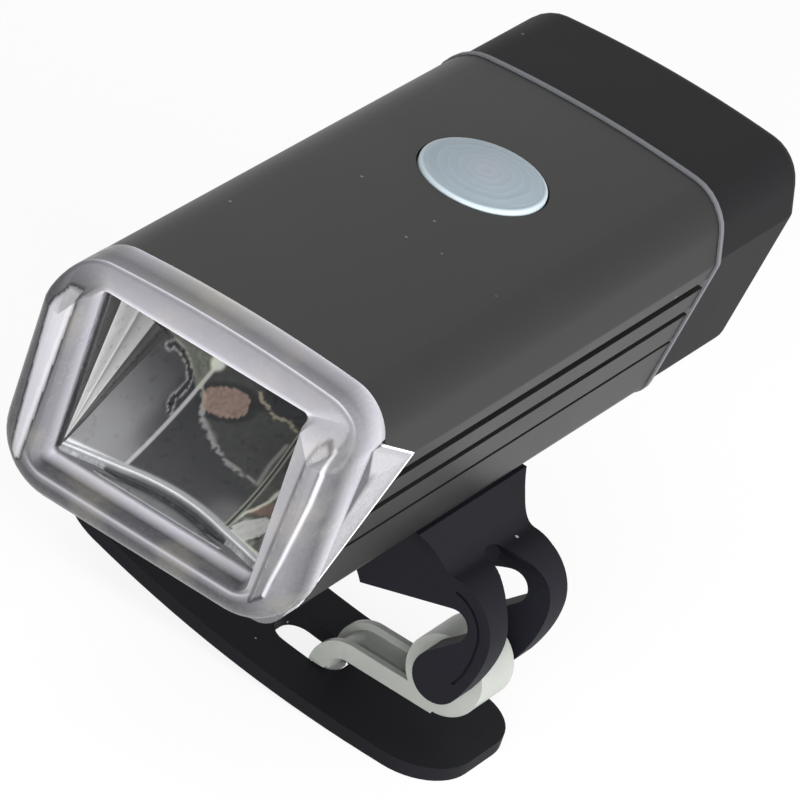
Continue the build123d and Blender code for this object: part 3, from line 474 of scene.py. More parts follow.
looks = {
    "black_anodised": dustyLook("blackAnodised", anodised, Specular_IOR_Level=0.3),
    "clear_lens": clearMoulding(),
    "reflector_metal": mirrorMetal(),
    "board_copper": plainLook("boardCopper", (0.36, 0.20, 0.14), 0.55, 1500, 0.45),
    "board_green": plainLook("boardGreen", (0.03, 0.16, 0.08), 0.4),
    "led_phosphor": plainLook("ledPhosphor", (0.95, 0.82, 0.3), 0.3, 2000),
    "pad_grey": plainLook("padGrey", (0.42, 0.44, 0.47), 0.7, 1200),
    "button_silicone": siliconeButton(button["centreY"] * mm, button["radius"] * mm),
    "switch_metal": plainLook("switchMetal", (0.7, 0.7, 0.7), 0.3, 1500, Metallic=1.0),
    "switch_black": plainLook("switchBlack", (0.03, 0.03, 0.03), 0.5),
    "seal_black": plainLook("sealBlack", (0.02, 0.02, 0.021), 0.6),
    "seal_grey": plainLook("sealGrey", (0.115, 0.12, 0.13), 0.5, change=0.2),
    "indicator": plainLook("indicatorLamp", (0.9, 0.9, 0.85), 0.2),
    "battery_wrap": plainLook("batteryWrap", (0.06, 0.22, 0.45), 0.3, 300),
    "inner_plastic": plainLook("innerPlastic", (0.05, 0.05, 0.055), 0.5),
    "wire_red": plainLook("wireRed", (0.5, 0.02, 0.02), 0.45),
    "cap_plastic": dustyLook("capPlastic", matteCap, Specular_IOR_Level=0.1),
    "screw_steel": plainLook("screwSteel", (0.62, 0.62, 0.63), 0.28, 1200, Metallic=1.0),
    "plug_steel": plainLook("plugSteel", (0.78, 0.78, 0.79), 0.2, 1200, Metallic=1.0),
    "plug_insulator": plainLook("plugInsulator", (0.82, 0.82, 0.8), 0.4),
    "insert_nylon": plainLook("insertNylon", (0.04, 0.04, 0.042), 0.5),
    "bracket_rubber": dustyLook("bracketRubber", rubberFinish(1.15), Specular_IOR_Level=0.12),
    "strap_rubber": dustyLook("strapRubber", rubberFinish(1.0), Specular_IOR_Level=0.12),
    "latch_nylon": plainLook("latchNylon", (0.33, 0.345, 0.32), 0.35, 300, 0.12, Subsurface_Weight=0.3,
                             Subsurface_Radius=(0.002, 0.002, 0.0018)),
}
for entry in frame["record"]["subparts"]:
    for holder in frame["nodes"][entry["node"]].material_slots:
        holder.material = looks[entry["material_slot"]]
print("finishes made")

housing = {
    "topHalf": 16.35, "creaseHalf": 18, "floorHalf": 15.1, "roof": 41.4, "crease": 34.65, "floor": 16.6,
    "crown": 1, "crownSteps": 16, "topRadius": 4.6, "creaseRadius": 0.9, "floorRadius": 2.75, "wall": 1.7,
    "front": -32.5, "rear": 31.4, "notchTop": 37.5, "notchDepth": 6, "chin": 2.7, "edge": 0.12,
    "holeRadius": 6.8, "swivelRadius": 1.55,
}
# below the crease: how far down, how wide and how deep
grooves = ((2.4, 1.3, 0.9), (6.1, 1.0, 0.8), (10.1, 0.5, 0.5))
sideSlope = (housing["creaseHalf"] - housing["floorHalf"]) / (housing["crease"] - housing["floor"])
# beyond the part on both sides, for cutters
span = 25
cutFront, cutRear = -45, 40


def crowned(points, half, height, roof, count=housing["crownSteps"]):
    # lifts the roof of an outline into a low arch, with more points along it
    arched = []
    for i, start in enumerate(points):
        end = points[(i + 1) % len(points)]
        steps = count if abs(start[0] - end[0]) > half else 1
        for k in range(steps):
            x, z = start[0] + (end[0] - start[0]) * k / steps, start[1] + (end[1] - start[1]) * k / steps
            lift = height * max(0.0, 1 - (x / half) ** 2) if z > roof - 3 else 0.0
            arched.append((x, z + lift))
    return arched


def housingSection(inset=0.0, sharpBelow=0.1):
    right = [("floorHalf", "floor", "floorRadius"), ("creaseHalf", "crease", "creaseRadius"),
             ("topHalf", "roof", "topRadius")]
    right = [tuple(housing[name] for name in names) for names in right]
    left = [(-x, z, radius) for x, z, radius in right[::-1]]
    corners = drawnIn(right[2:] + left + right[:2], inset)
    return crowned(rounded(corners, 6, sharpBelow), housing["topHalf"], housing["crown"], housing["roof"])


def aheadOfEdge(shift, reach):
    # side view of what lies ahead of the V-shaped front edge
    edge, beyond = housing["front"] + shift, 6
    top, low = housing["roof"] + beyond, housing["floor"] - beyond
    slope = (housing["notchDepth"] + housing["chin"]) / (housing["crease"] - housing["floor"])
    return [
        (edge - reach, top), (edge, top), (edge, housing["notchTop"]),
        (edge + housing["notchDepth"], housing["crease"]), (edge - housing["chin"] - slope * beyond, low),
        (edge - reach, low),
    ]


shell = prism("bodyShell", housingSection(), "Y", housing["front"] - housing["chin"], housing["rear"])
lean = math.atan(sideSlope)
for drop, width, depth in grooves:
    z = housing["crease"] - drop
    x = housing["floorHalf"] + sideSlope * (z - housing["floor"])
    for side in (-1, 1):
        outline = []
        for out, up in ((-1, -1), (1, -1), (1, 1), (-1, 1)):
            across = x + out * depth * math.cos(lean) + up * width / 2 * math.sin(lean)
            height = z - out * depth * math.sin(lean) + up * width / 2 * math.cos(lean)
            outline.append((side * across, height))
        cut(shell, prism("grooveCut", outline, "Y", cutFront, cutRear))
cut(shell, prism("hollowCut", housingSection(housing["wall"]), "Y", cutFront, cutRear))

ribs = {"portX": 10.415, "portZ": 22, "portRadius": 1.9, "bore": 1.02, "boreStart": 20.4, "boreEnd": 33,
        "start": -9.5, "end": 28, "web": 0.6, "reach": 15.3}
for side in (-1, 1):
    x, z = side * ribs["portX"], ribs["portZ"]
    web = rounded(plate(x, z - ribs["web"], side * ribs["reach"], z + ribs["web"]))
    cut(shell, prism("web", web, "Y", ribs["start"], ribs["end"]), "UNION")
    cut(shell, prism("port", circle(x, z, ribs["portRadius"], 24), "Y", ribs["start"], ribs["end"]), "UNION")
    cut(shell, prism("boreCut", circle(x, z, ribs["bore"], 24), "Y", ribs["boreStart"], ribs["boreEnd"]))
cut(shell, prism("frontCut", aheadOfEdge(0, 20), "X", -span, span))
cut(shell, prism("buttonCut", circle(0, button["centreY"], housing["holeRadius"], 96), "Z", 36, 46))
cut(shell, prism("swivelCut", circle(0, 0, housing["swivelRadius"], 36), "Z", 15, 19))
soften(shell, housing["edge"], 2, 40)
done(shell, "housing", "black_anodised", "body_shell")
print("housing made")

rear = {
    "sealThick": 0.7, "sealGap": 0.06, "sealProud": 0.2, "sealInner": 2.15, "sealEdge": 0.15,
    "capInset": 0.25, "capLength": 17.3, "endRadius": 2.2, "wall": 1.8, "endWall": 2.3, "capEdge": 0.2,
}
capFront = housing["rear"] + rear["sealThick"]
capRear = capFront + rear["capLength"]
seal = prism("rearSeal", housingSection(-rear["sealProud"]), "Y", housing["rear"] + rear["sealGap"],
             capFront - rear["sealGap"])
cut(seal, prism("sealCut", housingSection(rear["sealInner"]), "Y", housing["rear"] - 1.4, capFront + 1.9))
soften(seal, rear["sealEdge"], 3, 40)
done(seal, "housing", "seal_grey", "rear_gasket")
cap = domed("rearCap", lambda inset: housingSection(rear["capInset"] + inset, 0), capFront, capRear,
            rear["endRadius"])
capHollow = housingSection(rear["capInset"] + rear["wall"])
cut(cap, prism("capCut", capHollow, "Y", capFront - 7.1, capRear - rear["endWall"]))
soften(cap, rear["capEdge"], 3, 40)
done(cap, "cap", "cap_plastic", "rear_cap")
print("rear end made")


def domeHeight(radius):
    return button["rim"] + button["dome"] * (1 - (radius / button["radius"]) ** 2)


flat = button["radius"] - button["edge"]
buttonProfile = [(button["stem"], button["stemEnd"]), (button["stem"], button["flangeFloor"]),
                 (button["flange"], button["flangeFloor"]), (button["flange"], button["flangeTop"]),
                 (button["radius"], button["flangeTop"])]
buttonProfile += arc(flat, domeHeight(flat) - button["edge"], button["edge"], 0, 90, 6)
# shallow moulded rings in the dome, by share of its radius
dips = {0.97: 0.03, 0.94: 0.05, 0.9: 0.02, 0.66: 0.02}
for share in (0.97, 0.94, 0.9, 0.8, 0.7, 0.66, 0.62, 0.5, 0.38, 0.25, 0.12):
    buttonProfile.append((flat * share, domeHeight(flat * share) - dips.get(share, 0)))
buttonTop = turned("powerButton", buttonProfile, 0, button["centreY"], 96)
done(buttonTop, "button", "button_silicone", "power_button")
print("button made")

lens = {
    "half": 17.3, "floor": 17.1, "topRadius": 4.6, "floorRadius": 6.7, "bead": 2.9, "front": -41.5,
    "joint": 0.15, "backTop": 2.2, "backFloor": 5.6, "below": 2, "brow": -36.9, "browRadius": 0.8,
    "browTurn": 54, "browReach": 0.8, "windowHalf": 11.9, "windowTop": 40.1, "windowFloor": 21.6,
    "windowRadius": 0.6, "windowMargin": 0.8, "paneFront": -38.95, "paneThick": 0.45, "paneLap": 0.2,
    "wingEdge": 0.62, "wingStart": -39, "wingBack": -26.1, "hollowHalf": 13.2, "hollowLow": 19.8,
    "hollowTop": 39.6,
}


def denser(points, longRun=6, count=14):
    # the two upright runs get points along them as well
    full = []
    for i, start in enumerate(points):
        end = points[(i + 1) % len(points)]
        steps = count if abs(start[1] - end[1]) > longRun else 1
        full += [mixed(start, end, k / steps) for k in range(steps)]
    return full


def fourCorners(half, top, low, topRadius, lowRadius):
    return [(half, top, topRadius), (-half, top, topRadius), (-half, low, lowRadius), (half, low, lowRadius)]


def lensSection(inset=0.0):
    radii = lens["topRadius"], lens["floorRadius"]
    corners = fourCorners(lens["half"], housing["roof"], lens["floor"], *radii)
    outline = rounded(drawnIn(corners, inset), 12, 0)
    return denser(crowned(outline, lens["half"], housing["crown"], housing["roof"]))


def windowSection(grow=0.0):
    half, top, low = lens["windowHalf"] + grow, lens["windowTop"] + grow, lens["windowFloor"] - grow
    radius = lens["windowRadius"] + grow
    return denser(crowned(rounded(fourCorners(half, top, low, radius, radius), 12, 0), half, 0, top))


def rimBack(z):
    # the rim's back: square behind the roof, and slanted below the tips of the wings
    if z > housing["notchTop"]:
        return housing["front"]
    fall = (housing["notchTop"] - z) / (housing["notchTop"] - lens["floor"] + lens["below"])
    return housing["front"] - between(lens["backTop"], lens["backFloor"], fall)


# the rim's profile, from its back edge over the bead to the window
rimRows = [("wall", share) for share in (0, 0.06, 0.17, 0.45, 0.66, 0.86)]
rimRows += [("bead", turn / 8) for turn in range(9)]
rimRows += [("flat", share) for share in (0.35, 0.7, 1.0)]
rimRows += [("slope", 0.55), ("slope", 1.0), ("inner", 0.3), ("inner", 1.0)]
# painted light and shade of the rim, grey levels at its rows for each side it faces: joint 0, hollow 4, bead
# 6 to 14, window edge 19, inside 20
rimPaintedLight = {
    "above": ((0, 240), (4, 122), (6, 146), (8, 250), (10, 160), (12, 138), (17, 174), (19, 240),
              (20, 100)),
    "left": ((0, 70), (5, 58), (16, 108), (18, 140), (19, 196), (20, 56)),
    "right": ((0, 150), (2, 196), (8, 88), (15, 158), (17, 166), (19, 200), (20, 82)),
    "below": ((0, 96), (3, 200), (8, 96), (13, 78), (15, 186), (16, 96), (18, 72), (19, 250), (20, 150)),
}
# a warmer stretch on the brow
warmSpot = {"x": -4, "half": 7, "lastRow": 6, "from": 0.6, "strength": 0.34}


def toneAt(keys, row):
    for (low, first), (high, second) in zip(keys, keys[1:]):
        if row <= high:
            return between(first, second, (row - low) / (high - low))
    return keys[-1][1]


def ringShades():
    # painted light and shade: each point mixes the grey levels of the sides that its outline faces
    outline = lensSection()
    middleZ = (housing["roof"] + lens["floor"]) / 2
    shades = [[] for row in rimRows]
    for i, (x, z) in enumerate(outline):
        before, after = outline[i - 1], outline[(i + 1) % len(outline)]
        run = Vector((after[0] - before[0], after[1] - before[1])).normalized()
        out = Vector((run.y, -run.x))
        if out.dot(Vector((x, z - middleZ))) < 0:
            out = -out
        shares = {"above": out.y, "left": -out.x, "right": out.x, "below": -out.y}
        shares = {name: max(0.0, share) ** 2 for name, share in shares.items()}
        warmShare = max(0.0, shares["above"] - warmSpot["from"])
        warmShare *= max(0.0, 1 - abs(x - warmSpot["x"]) / warmSpot["half"])
        for row in range(len(rimRows)):
            level = sum(share * toneAt(rimPaintedLight[name], row) for name, share in shares.items())
            warm = warmShare if row <= warmSpot["lastRow"] else 0.0
            shades[row].append(fromScreen(level, (0.985, 0.97, 1.06 - warmSpot["strength"] * warm)))
    return shades


def ringLoops():
    # one profile for the sides and the floor and one for the brow over the window, mixed by height
    outline, window, wide = lensSection(), windowSection(), windowSection(lens["windowMargin"])
    front, bead, brow, pane = lens["front"], lens["bead"], lens["brow"], lens["paneFront"]
    loops = []
    for kind, value in rimRows:
        loop = []
        turn = math.pi / 2 * value if kind == "bead" else 0.0
        bent = lensSection(bead * (1 - math.cos(turn)) if kind == "bead" else bead)
        browTurn = math.radians(lens["browTurn"]) * (value if kind == "bead" else 1)
        browBent = lensSection(lens["browRadius"] * (1 - math.cos(browTurn)))
        browY = brow - lens["browRadius"] * math.sin(browTurn)
        for i, (x, z) in enumerate(outline):
            rise = (z - housing["roof"] + lens["topRadius"]) / (lens["topRadius"] + 0.2)
            rise = min(1.0, max(0.0, rise))
            above = min(1.0, rise**1.5 * (3 - 2 * rise))
            inner, outer, edge = window[i], wide[i], browBent[i]
            browEdge, windowEdge = (edge[0], browY, edge[1]), (inner[0], pane, inner[1])
            if kind == "wall":
                back = rimBack(z)
                sideSpot = (x, between(back, front + bead, value), z)
                topSpot = (x, between(back, brow, value), z)
            elif kind == "bead":
                sideSpot, topSpot = (bent[i][0], front + bead - bead * math.sin(turn), bent[i][1]), browEdge
            elif kind == "flat":
                u, v = mixed(bent[i], outer, value)
                sideSpot, topSpot = (u, front, v), mixed(browEdge, windowEdge, lens["browReach"] * value)
            elif kind == "slope":
                u, v = mixed(outer, inner, value)
                reach = between(lens["browReach"], 1, value)
                sideSpot = (u, between(front, pane, value**1.6), v)
                topSpot = mixed(browEdge, windowEdge, reach)
            else:
                back = max(pane + 0.5, rimBack(min(inner[1], housing["notchTop"])))
                sideSpot = topSpot = (inner[0], between(pane, back, value), inner[1])
            loop.append(mixed(sideSpot, topSpot, above))
        loops.append(loop)
    return loops


def lineGap(x, y, line):
    # distance from a place to a chain of points
    best = 1000.0
    for (ax, ay), (bx, by) in zip(line, line[1:]):
        run = (bx - ax) ** 2 + (by - ay) ** 2
        share = min(1.0, max(0.0, ((x - ax) * (bx - ax) + (y - ay) * (by - ay)) / run))
        best = min(best, math.hypot(x - ax - share * (bx - ax), y - ay - share * (by - ay)))
    return best


def inside(x, y, outline):
    hit = False
    for i, (bx, by) in enumerate(outline):
        ax, ay = outline[i - 1]
        if (ay > y) != (by > y) and x < ax + (bx - ax) * (y - ay) / (by - ay):
            hit = not hit
    return hit


# ridged strips in the left and right of the rim, painted on as bright strips, and the bright line beside the
# right one, a painted highlight
flutes = {
    "left": [(-14.9, 20.9), (-15.75, 37.4), (-15.2, 38.7), (-13.5, 39.3), (-13.05, 38.8), (-13.75, 20.6),
             (-14.4, 20.2)],
    "right": [(13.3, 20.6), (14.35, 38.4), (14.8, 38.9), (15.8, 37.6), (15.7, 33.5), (14.9, 24.0),
              (14.3, 21.6)],
}
gleam = [(14.5, 22.0), (15.1, 26.5), (15.8, 33.0), (15.95, 36.4), (15.7, 38.2)]
fluteTint = (0.985, 0.975, 1.05)


def onFront(x, z, level):
    # painted light on the rim's front: each flute a bright strip with a lighter and a darker half, brighter
    # towards the top, with painted shade along its edges and the painted highlight line
    rise = stepped(z, 22, 38)
    if inside(x, z, flutes["left"]):
        level = between(212, 226, rise) + (4 if x > -14.35 + 0.04 * (z - 21) else -12)
    elif inside(x, z, flutes["right"]):
        level = between(136, 160, rise) + (20 if x < 13.6 + 0.055 * (z - 21) else -16)
    edge = min(lineGap(x, z, outline + outline[:1]) for outline in flutes.values())
    level -= 60 * (1 - stepped(edge, 0.06, 0.3))
    return between(226, level, stepped(lineGap(x, z, gleam), 0.05, 0.34))


def paint(piece, shade):
    # shade takes a place and the present colour there
    if "tone" not in piece.data.color_attributes:
        piece.data.color_attributes.new("tone", "FLOAT_COLOR", "POINT")
    for vertex, entry in zip(piece.data.vertices, piece.data.color_attributes["tone"].data):
        entry.color = (*shade(vertex.co / mm, entry.color), 1)


def frontShade(place, colour):
    x, y, z = place
    if y > -37.6 or abs(x) < 12.4 or not 19.5 < z < 41.2:
        return colour[:3]
    level = 255 * (colour[1] / (lensWhite * fluteTint[1])) ** (1 / screenPower)
    return fromScreen(onFront(x, z, level), fluteTint)


loops, shades = ringLoops(), ringShades()
ring = wrapped("lensRing", loops + loops[:1], shades + shades[:1])
editAll(ring)
bpy.ops.mesh.subdivide(number_cuts=4)
deselect()
paint(ring, frontShade)
done(ring, "housing", "clear_lens", "front_lens", angle=50, weighted=False)


def edgePlace(z):
    # where the housing's V-shaped edge lies at a height
    tip = housing["front"] + housing["notchDepth"]
    if z > housing["crease"]:
        rise = (z - housing["crease"]) / (housing["notchTop"] - housing["crease"])
        return between(tip, housing["front"], rise)
    fall = (housing["crease"] - z) / (housing["crease"] - housing["floor"])
    return between(tip, housing["front"] - housing["chin"], fall)


def wingShade(place, colour):
    # painted shade: darker at the housing's edge, and darkest where the wing meets the rim
    level = 214 if edgePlace(place.z) - place.y > 1.1 else 190
    if place.y - rimBack(min(place.z, housing["notchTop"])) < 0.25:
        level = 130
    return fromScreen(level, (1, 0.985, 1.04), wingWhite)


def wingPiece(name):
    # the housing's outline ahead of its edge, hollow inside
    piece = prism(name, housingSection(), "Y", lens["wingStart"], lens["wingBack"])
    shift = lens["wingEdge"] if name == "lensWings" else lens["joint"]
    cut(piece, prism("keep", aheadOfEdge(-shift, 12), "X", -span, span), "INTERSECT")
    if name == "wingEdge":
        # the strip stops just short of the wing
        cut(piece, prism("wingCut", aheadOfEdge(-lens["wingEdge"] - 0.02, 14), "X", -span, span))
    low = lens["floor"] - lens["below"]
    behind = [(housing["front"] - lens["backTop"], housing["notchTop"]),
              (housing["front"] - lens["backFloor"], low), (40, low), (40, housing["notchTop"])]
    cut(piece, prism("keep", behind, "X", -span, span), "INTERSECT")
    hollow = plate(-lens["hollowHalf"], lens["hollowLow"], lens["hollowHalf"], lens["hollowTop"], 1)
    cut(piece, prism("hollowCut", rounded(hollow, 3), "Y", -45, -15))
    return piece


wings = wingPiece("lensWings")
soften(wings, 0.16, 3, 40)
highlightStrip = wingPiece("wingEdge")
soften(highlightStrip, 0.08, 2, 40)
# the strip along the wing's back edge carries a painted highlight, near white
paint(highlightStrip, lambda place, colour: fromScreen(252, (1, 0.99, 1.0), edgeWhite))
done(highlightStrip, "housing", "clear_lens", "front_lens", angle=30)
editAll(wings)
bpy.ops.mesh.quads_convert_to_tris(quad_method="BEAUTY", ngon_method="BEAUTY")
bpy.ops.mesh.subdivide(number_cuts=3)
deselect()
paint(wings, wingShade)
done(wings, "housing", "clear_lens", "front_lens", angle=30)

half, lap = lens["windowHalf"] + lens["paneLap"], lens["paneLap"]
paneOutline = rounded(plate(-half, lens["windowFloor"] - lap, half, lens["windowTop"] + 0.1, 0.6), 4)
pane = prism("lensPane", paneOutline, "Y", lens["paneFront"] + 0.05, lens["paneFront"] + lens["paneThick"])
soften(pane, 0.15, 2, 40)
done(pane, "housing", "clear_lens", "front_lens", windowPane())
print("lens made")

scoop = {
    "axis": 37.4, "vertex": -12.94, "focus": 2.75, "lipY": -34.45, "lipZ": 22.0, "bow": 1.1, "crease": 5.9,
    "leftCrease": 6.4, "rightCrease": 4.6, "creaseTurn": 0.35, "wallHalf": 11.75, "lift": 2.4,
    "backLift": 0.6, "liftEnd": 0.78, "frontSweep": 1.7, "backSweep": 0.9, "steps": 130, "metal": 0.25,
}
# plan places of the painted pale lines and patches, painted reflections that show in the folded surfaces
paleLines = {
    "diagonal": [(-6.5, -23.6), (-5.1, -24.7), (-4.35, -25.9), (-2.9, -27.0), (-1.1, -28.0), (1.2, -28.9),
                 (4.94, -29.4)],
    "wave": [(-10.6, -24.1), (-10.3, -23.4), (-9.3, -23.2), (-8.3, -23.4), (-7.7, -23.8), (-7.2, -24.6),
             (-7.1, -25.6), (-7.25, -26.8), (-6.6, -28.0)],
    "crackle": [(-1.3, -21.2), (-0.4, -21.9), (0.4, -22.0), (1.45, -22.5), (2.8, -22.3), (4.3, -22.7)],
    "fold": [(7.6, -28.6), (7.4, -30.6), (6.9, -32.0), (6.3, -32.9), (5.85, -35.4)],
    "stroke": [(4.5, -24.5), (4.6, -27.0), (5.1, -29.4)],
}
# a white and a brown patch of painted reflection on the right wall
whiteReflection = [(6.5, -34.6), (7.2, -33.4), (8.3, -32.6), (9.3, -32.5), (9.5, -33.6), (9.1, -35.0),
              (8.3, -36.0), (7.0, -35.6)]
brownReflection = [(6.6, -32.6), (7.5, -31.0), (8.7, -29.9), (9.4, -30.6), (9.2, -31.8), (7.6, -32.7)]
darkest, brightest = 14, 250
# the painted reflection of the copper board on the middle panel, ringed by painted shade
copperReflection = {"x": -3.17, "y": -23.79, "long": 2.2, "short": 1.6, "square": 2.6, "lean": 0.12,
              "turn": (0.82, 0.57), "level": 136, "shadow": 34, "shadowEnd": 1.42, "shadowFrom": 1.2}


def scoopY(z):
    return scoop["vertex"] - (scoop["axis"] - z) ** 2 / (4 * scoop["focus"])


def scoopPlace(share, across, side):
    # share runs from lip (0) to roof (1), across from the middle (0) over the crease (1) to the wall (2)
    z = between(scoop["lipZ"], scoop["axis"], share**0.8)
    y = scoopY(z) + scoop["lipY"] - scoopY(scoop["lipZ"])
    bow = scoop["bow"] * (1 - share) ** 2
    topCrease = scoop["leftCrease" if side < 0 else "rightCrease"]
    crease = between(scoop["crease"], topCrease, stepped(share, 0, scoop["creaseTurn"]))
    if across <= 1:
        return (side * crease * across, y - bow * across**2, z)
    out, lift = across - 1, scoop["backLift"]
    if share < scoop["liftEnd"]:
        lift = scoop["lift"] * math.sin(math.pi * min(1.0, share * 1.25 + 0.02)) ** 0.8
    y -= bow + between(scoop["frontSweep"], scoop["backSweep"], share) * out
    return (side * between(crease, scoop["wallHalf"], out), y, z + lift * out**1.3)


def lipPlace(x):
    # how far forward the lip stands at a distance from the middle
    share = min(1.0, abs(x) / scoop["crease"])
    out = max(0.0, abs(x) - scoop["crease"]) / (scoop["wallHalf"] - scoop["crease"])
    return scoop["lipY"] - scoop["bow"] * share**2 - scoop["frontSweep"] * out


def grain(x, y, scale):
    return noise.noise(Vector((x * scale, y * scale, 3.7)))


def roughGap(x, y, rough, reach, name):
    return lineGap(x + reach * rough, y + reach * rough, paleLines[name])


# each field gives the grey level of its painted reflection, then how warm and how green it is
def leftField(x, y, rough):
    # painted reflection: bright in front and dark behind, with a greenish field beyond a wavy line
    level, green = between(152, 62, stepped(y, -33.5, -22.5)) + 6 * grain(x, y, 0.5), 0.0
    # painted shade beside the left crease, fading out near the lip
    creaseShade = (1 - stepped(abs(x + 6.2), 0.1, 2.4)) * stepped(y, -35, -31)
    level -= 46 * creaseShade
    behindWave = y > -23.3 - 0.45 * abs(x + 8.2) ** 1.5 and x > -7.7 - 0.9 * (y + 24)
    if y > -26.5 and x > -9.9 and behindWave and lineGap(x, y, paleLines["wave"]) > 0.05:
        level, green = 116 + 18 * rough, 1.0
    if y > -23.2:
        level, green = 112 + 24 * rough, 1.0
    # a dark line along the wave with a pale band beside it
    gap = roughGap(x, y, rough, 0.12, "wave")
    if gap < 0.22:
        return between(24, level, stepped(gap, 0.1, 0.22)), 0.0, green
    return between(176, level, stepped(gap, 0.22, 0.5)), 0.0, green


def rightField(x, y, rough):
    # painted reflection: dark, with a brown and a white patch in front and a painted highlight along a fold
    level, warm, green = between(44, 84, stepped(y, -24, -30)) + 22 * rough, 0.0, 0.8
    if inside(x, y, brownReflection):
        level, warm, green = 118 + 16 * rough, 1.0, 0.0
    if inside(x + 0.3 * rough, y + 0.3 * rough, whiteReflection):
        level, green = 214 + 16 * rough, 0.3
    elif y < -33.2:
        level = 110 + 90 * rough
    return between(228, level, stepped(roughGap(x, y, rough, 0.15, "fold"), 0.1, 0.32)), warm, green


def centreField(x, y, rough):
    # painted reflections: the copper board's reflection, a greenish field above a jagged diagonal with a
    # crackled pale line, plain mirror below it
    steep, shallow = y < -25.9 - 0.55 * (x + 4.3), y < -28.0 + 0.62 * max(0.0, -x - 1.1)
    if steep and shallow or x < -4.9 and y < -24.4:
        # a painted brighter patch at the right front, near the lip
        glow = stepped(x, 1.5, 5.0) * stepped(y, -31, -33.5) * stepped(y, -36, -34.6)
        level, green = between(52, 72, stepped(y, -27, -35)) + 5 * rough + 44 * glow, 0.0
    else:
        level, green = 66 + 12 * rough, 0.5
    warm, oval = 0.0, copperReflection
    (major, minor), dx, dy = oval["turn"], x - oval["x"], y - oval["y"]
    along, over = major * dx + minor * dy, major * dy - minor * dx
    over += oval["lean"] * along
    reach = abs(along / oval["long"]) ** oval["square"] + abs(over / oval["short"]) ** oval["square"]
    reach = reach ** (1 / oval["square"]) + 0.05 * rough
    if y > -22.6 + 0.4 * grain(x, y, 1.2) and x > -0.9:
        level, green = 34 + 18 * rough, 0.4
    # painted shade round the copper board's reflection, and the reflection itself
    if reach < oval["shadowEnd"]:
        level = between(oval["shadow"], level, stepped(reach, oval["shadowFrom"], oval["shadowEnd"]))
    if reach < 1.0:
        level, warm, green = oval["level"] + 26 * grain(x, y, 4.0), 0.95, 0.0
    # painted pale lines: along the jagged diagonal, wider near its middle, the crackled line and a short
    # stroke
    wide = 0.16 + 0.75 * (1 - stepped(math.hypot(x + 2.2, y + 27.3), 0.6, 2.4)) * (0.5 + rough)
    diagonal = stepped(roughGap(x, y, rough, 0.2, "diagonal"), 0.06, max(0.12, wide) + 0.12)
    level = between(168, level, diagonal)
    crackle = roughGap(x, y, rough, 0.2, "crackle")
    if crackle < 0.26:
        level, green, warm = between(176, level, stepped(crackle, 0.04, 0.26)), 0.9, 0.35
    return between(150, level, stepped(lineGap(x, y, paleLines["stroke"]), 0.05, 0.4)), warm, green


def scoopShade(place, across, side):
    # painted reflections: the light and dark fields that the folded surfaces show, with painted highlight
    # lines at crease and lip
    x, y, z = place
    rough = grain(x, y, 2.2) + 0.5 * grain(x, y, 5.5)
    field = centreField if across <= 1 else leftField if side < 0 else rightField
    level, warm, green = field(x, y, rough)
    line = abs(across - 1)
    # a painted highlight along the left crease, and a painted bright spot at its top
    if side < 0:
        level = between(206, level, stepped(line, 0.018, 0.05))
        if y > -22.3:
            level = between(236, level, stepped(math.hypot(x + 6.4, y + 21.2), 0.5, 1.0))
    else:
        # a painted dark line along the right crease with a painted highlight beside it
        level = between(30, between(172, level, stepped(line, 0.04, 0.07)), stepped(line, 0.012, 0.03))
        green = max(green, 1 - stepped(line, 0.04, 0.09))
    # a painted highlight along the lip
    if z < 24:
        level = between(250, level, stepped(y - lipPlace(x), 0.4, 0.6))
    tint = (1 + 0.32 * warm - 0.03 * green, 1 - 0.10 * warm + 0.02 * green, 1.03 - 0.32 * warm - 0.2 * green)
    return fromScreen(min(brightest, max(darkest, level)), tint, mirrorWhite)


def panel(name, columns, side):
    loops, paintedLights = [], []
    for i in range(scoop["steps"] + 1):
        share = (i / scoop["steps"]) ** 1.3
        row = [scoopPlace(share, across, side) for across in columns]
        loops.append(row)
        paintedLights.append([scoopShade(place, across, side) for place, across in zip(row, columns)])
    return wrapped(name, loops, paintedLights, False)


def join(parts, name):
    deselect()
    for part in parts:
        part.select_set(True)
    bpy.context.view_layer.objects.active = parts[0]
    bpy.ops.object.join()
    parts[0].name = parts[0].data.name = name
    return parts[0]


# closer columns beside the crease, which carries narrow lines
centreColumns = [k / 44 * 0.96 for k in range(44)] + [0.96, 0.975, 0.988, 1.0]
sideColumns = [1.0001, 1.012, 1.025, 1.045] + [1.06 + 0.94 * k / 40 for k in range(41)]
parts = []
for side in (-1, 1):
    parts.append(panel("centrePanel", centreColumns, side))
    parts.append(panel("sidePanel", sideColumns, side))

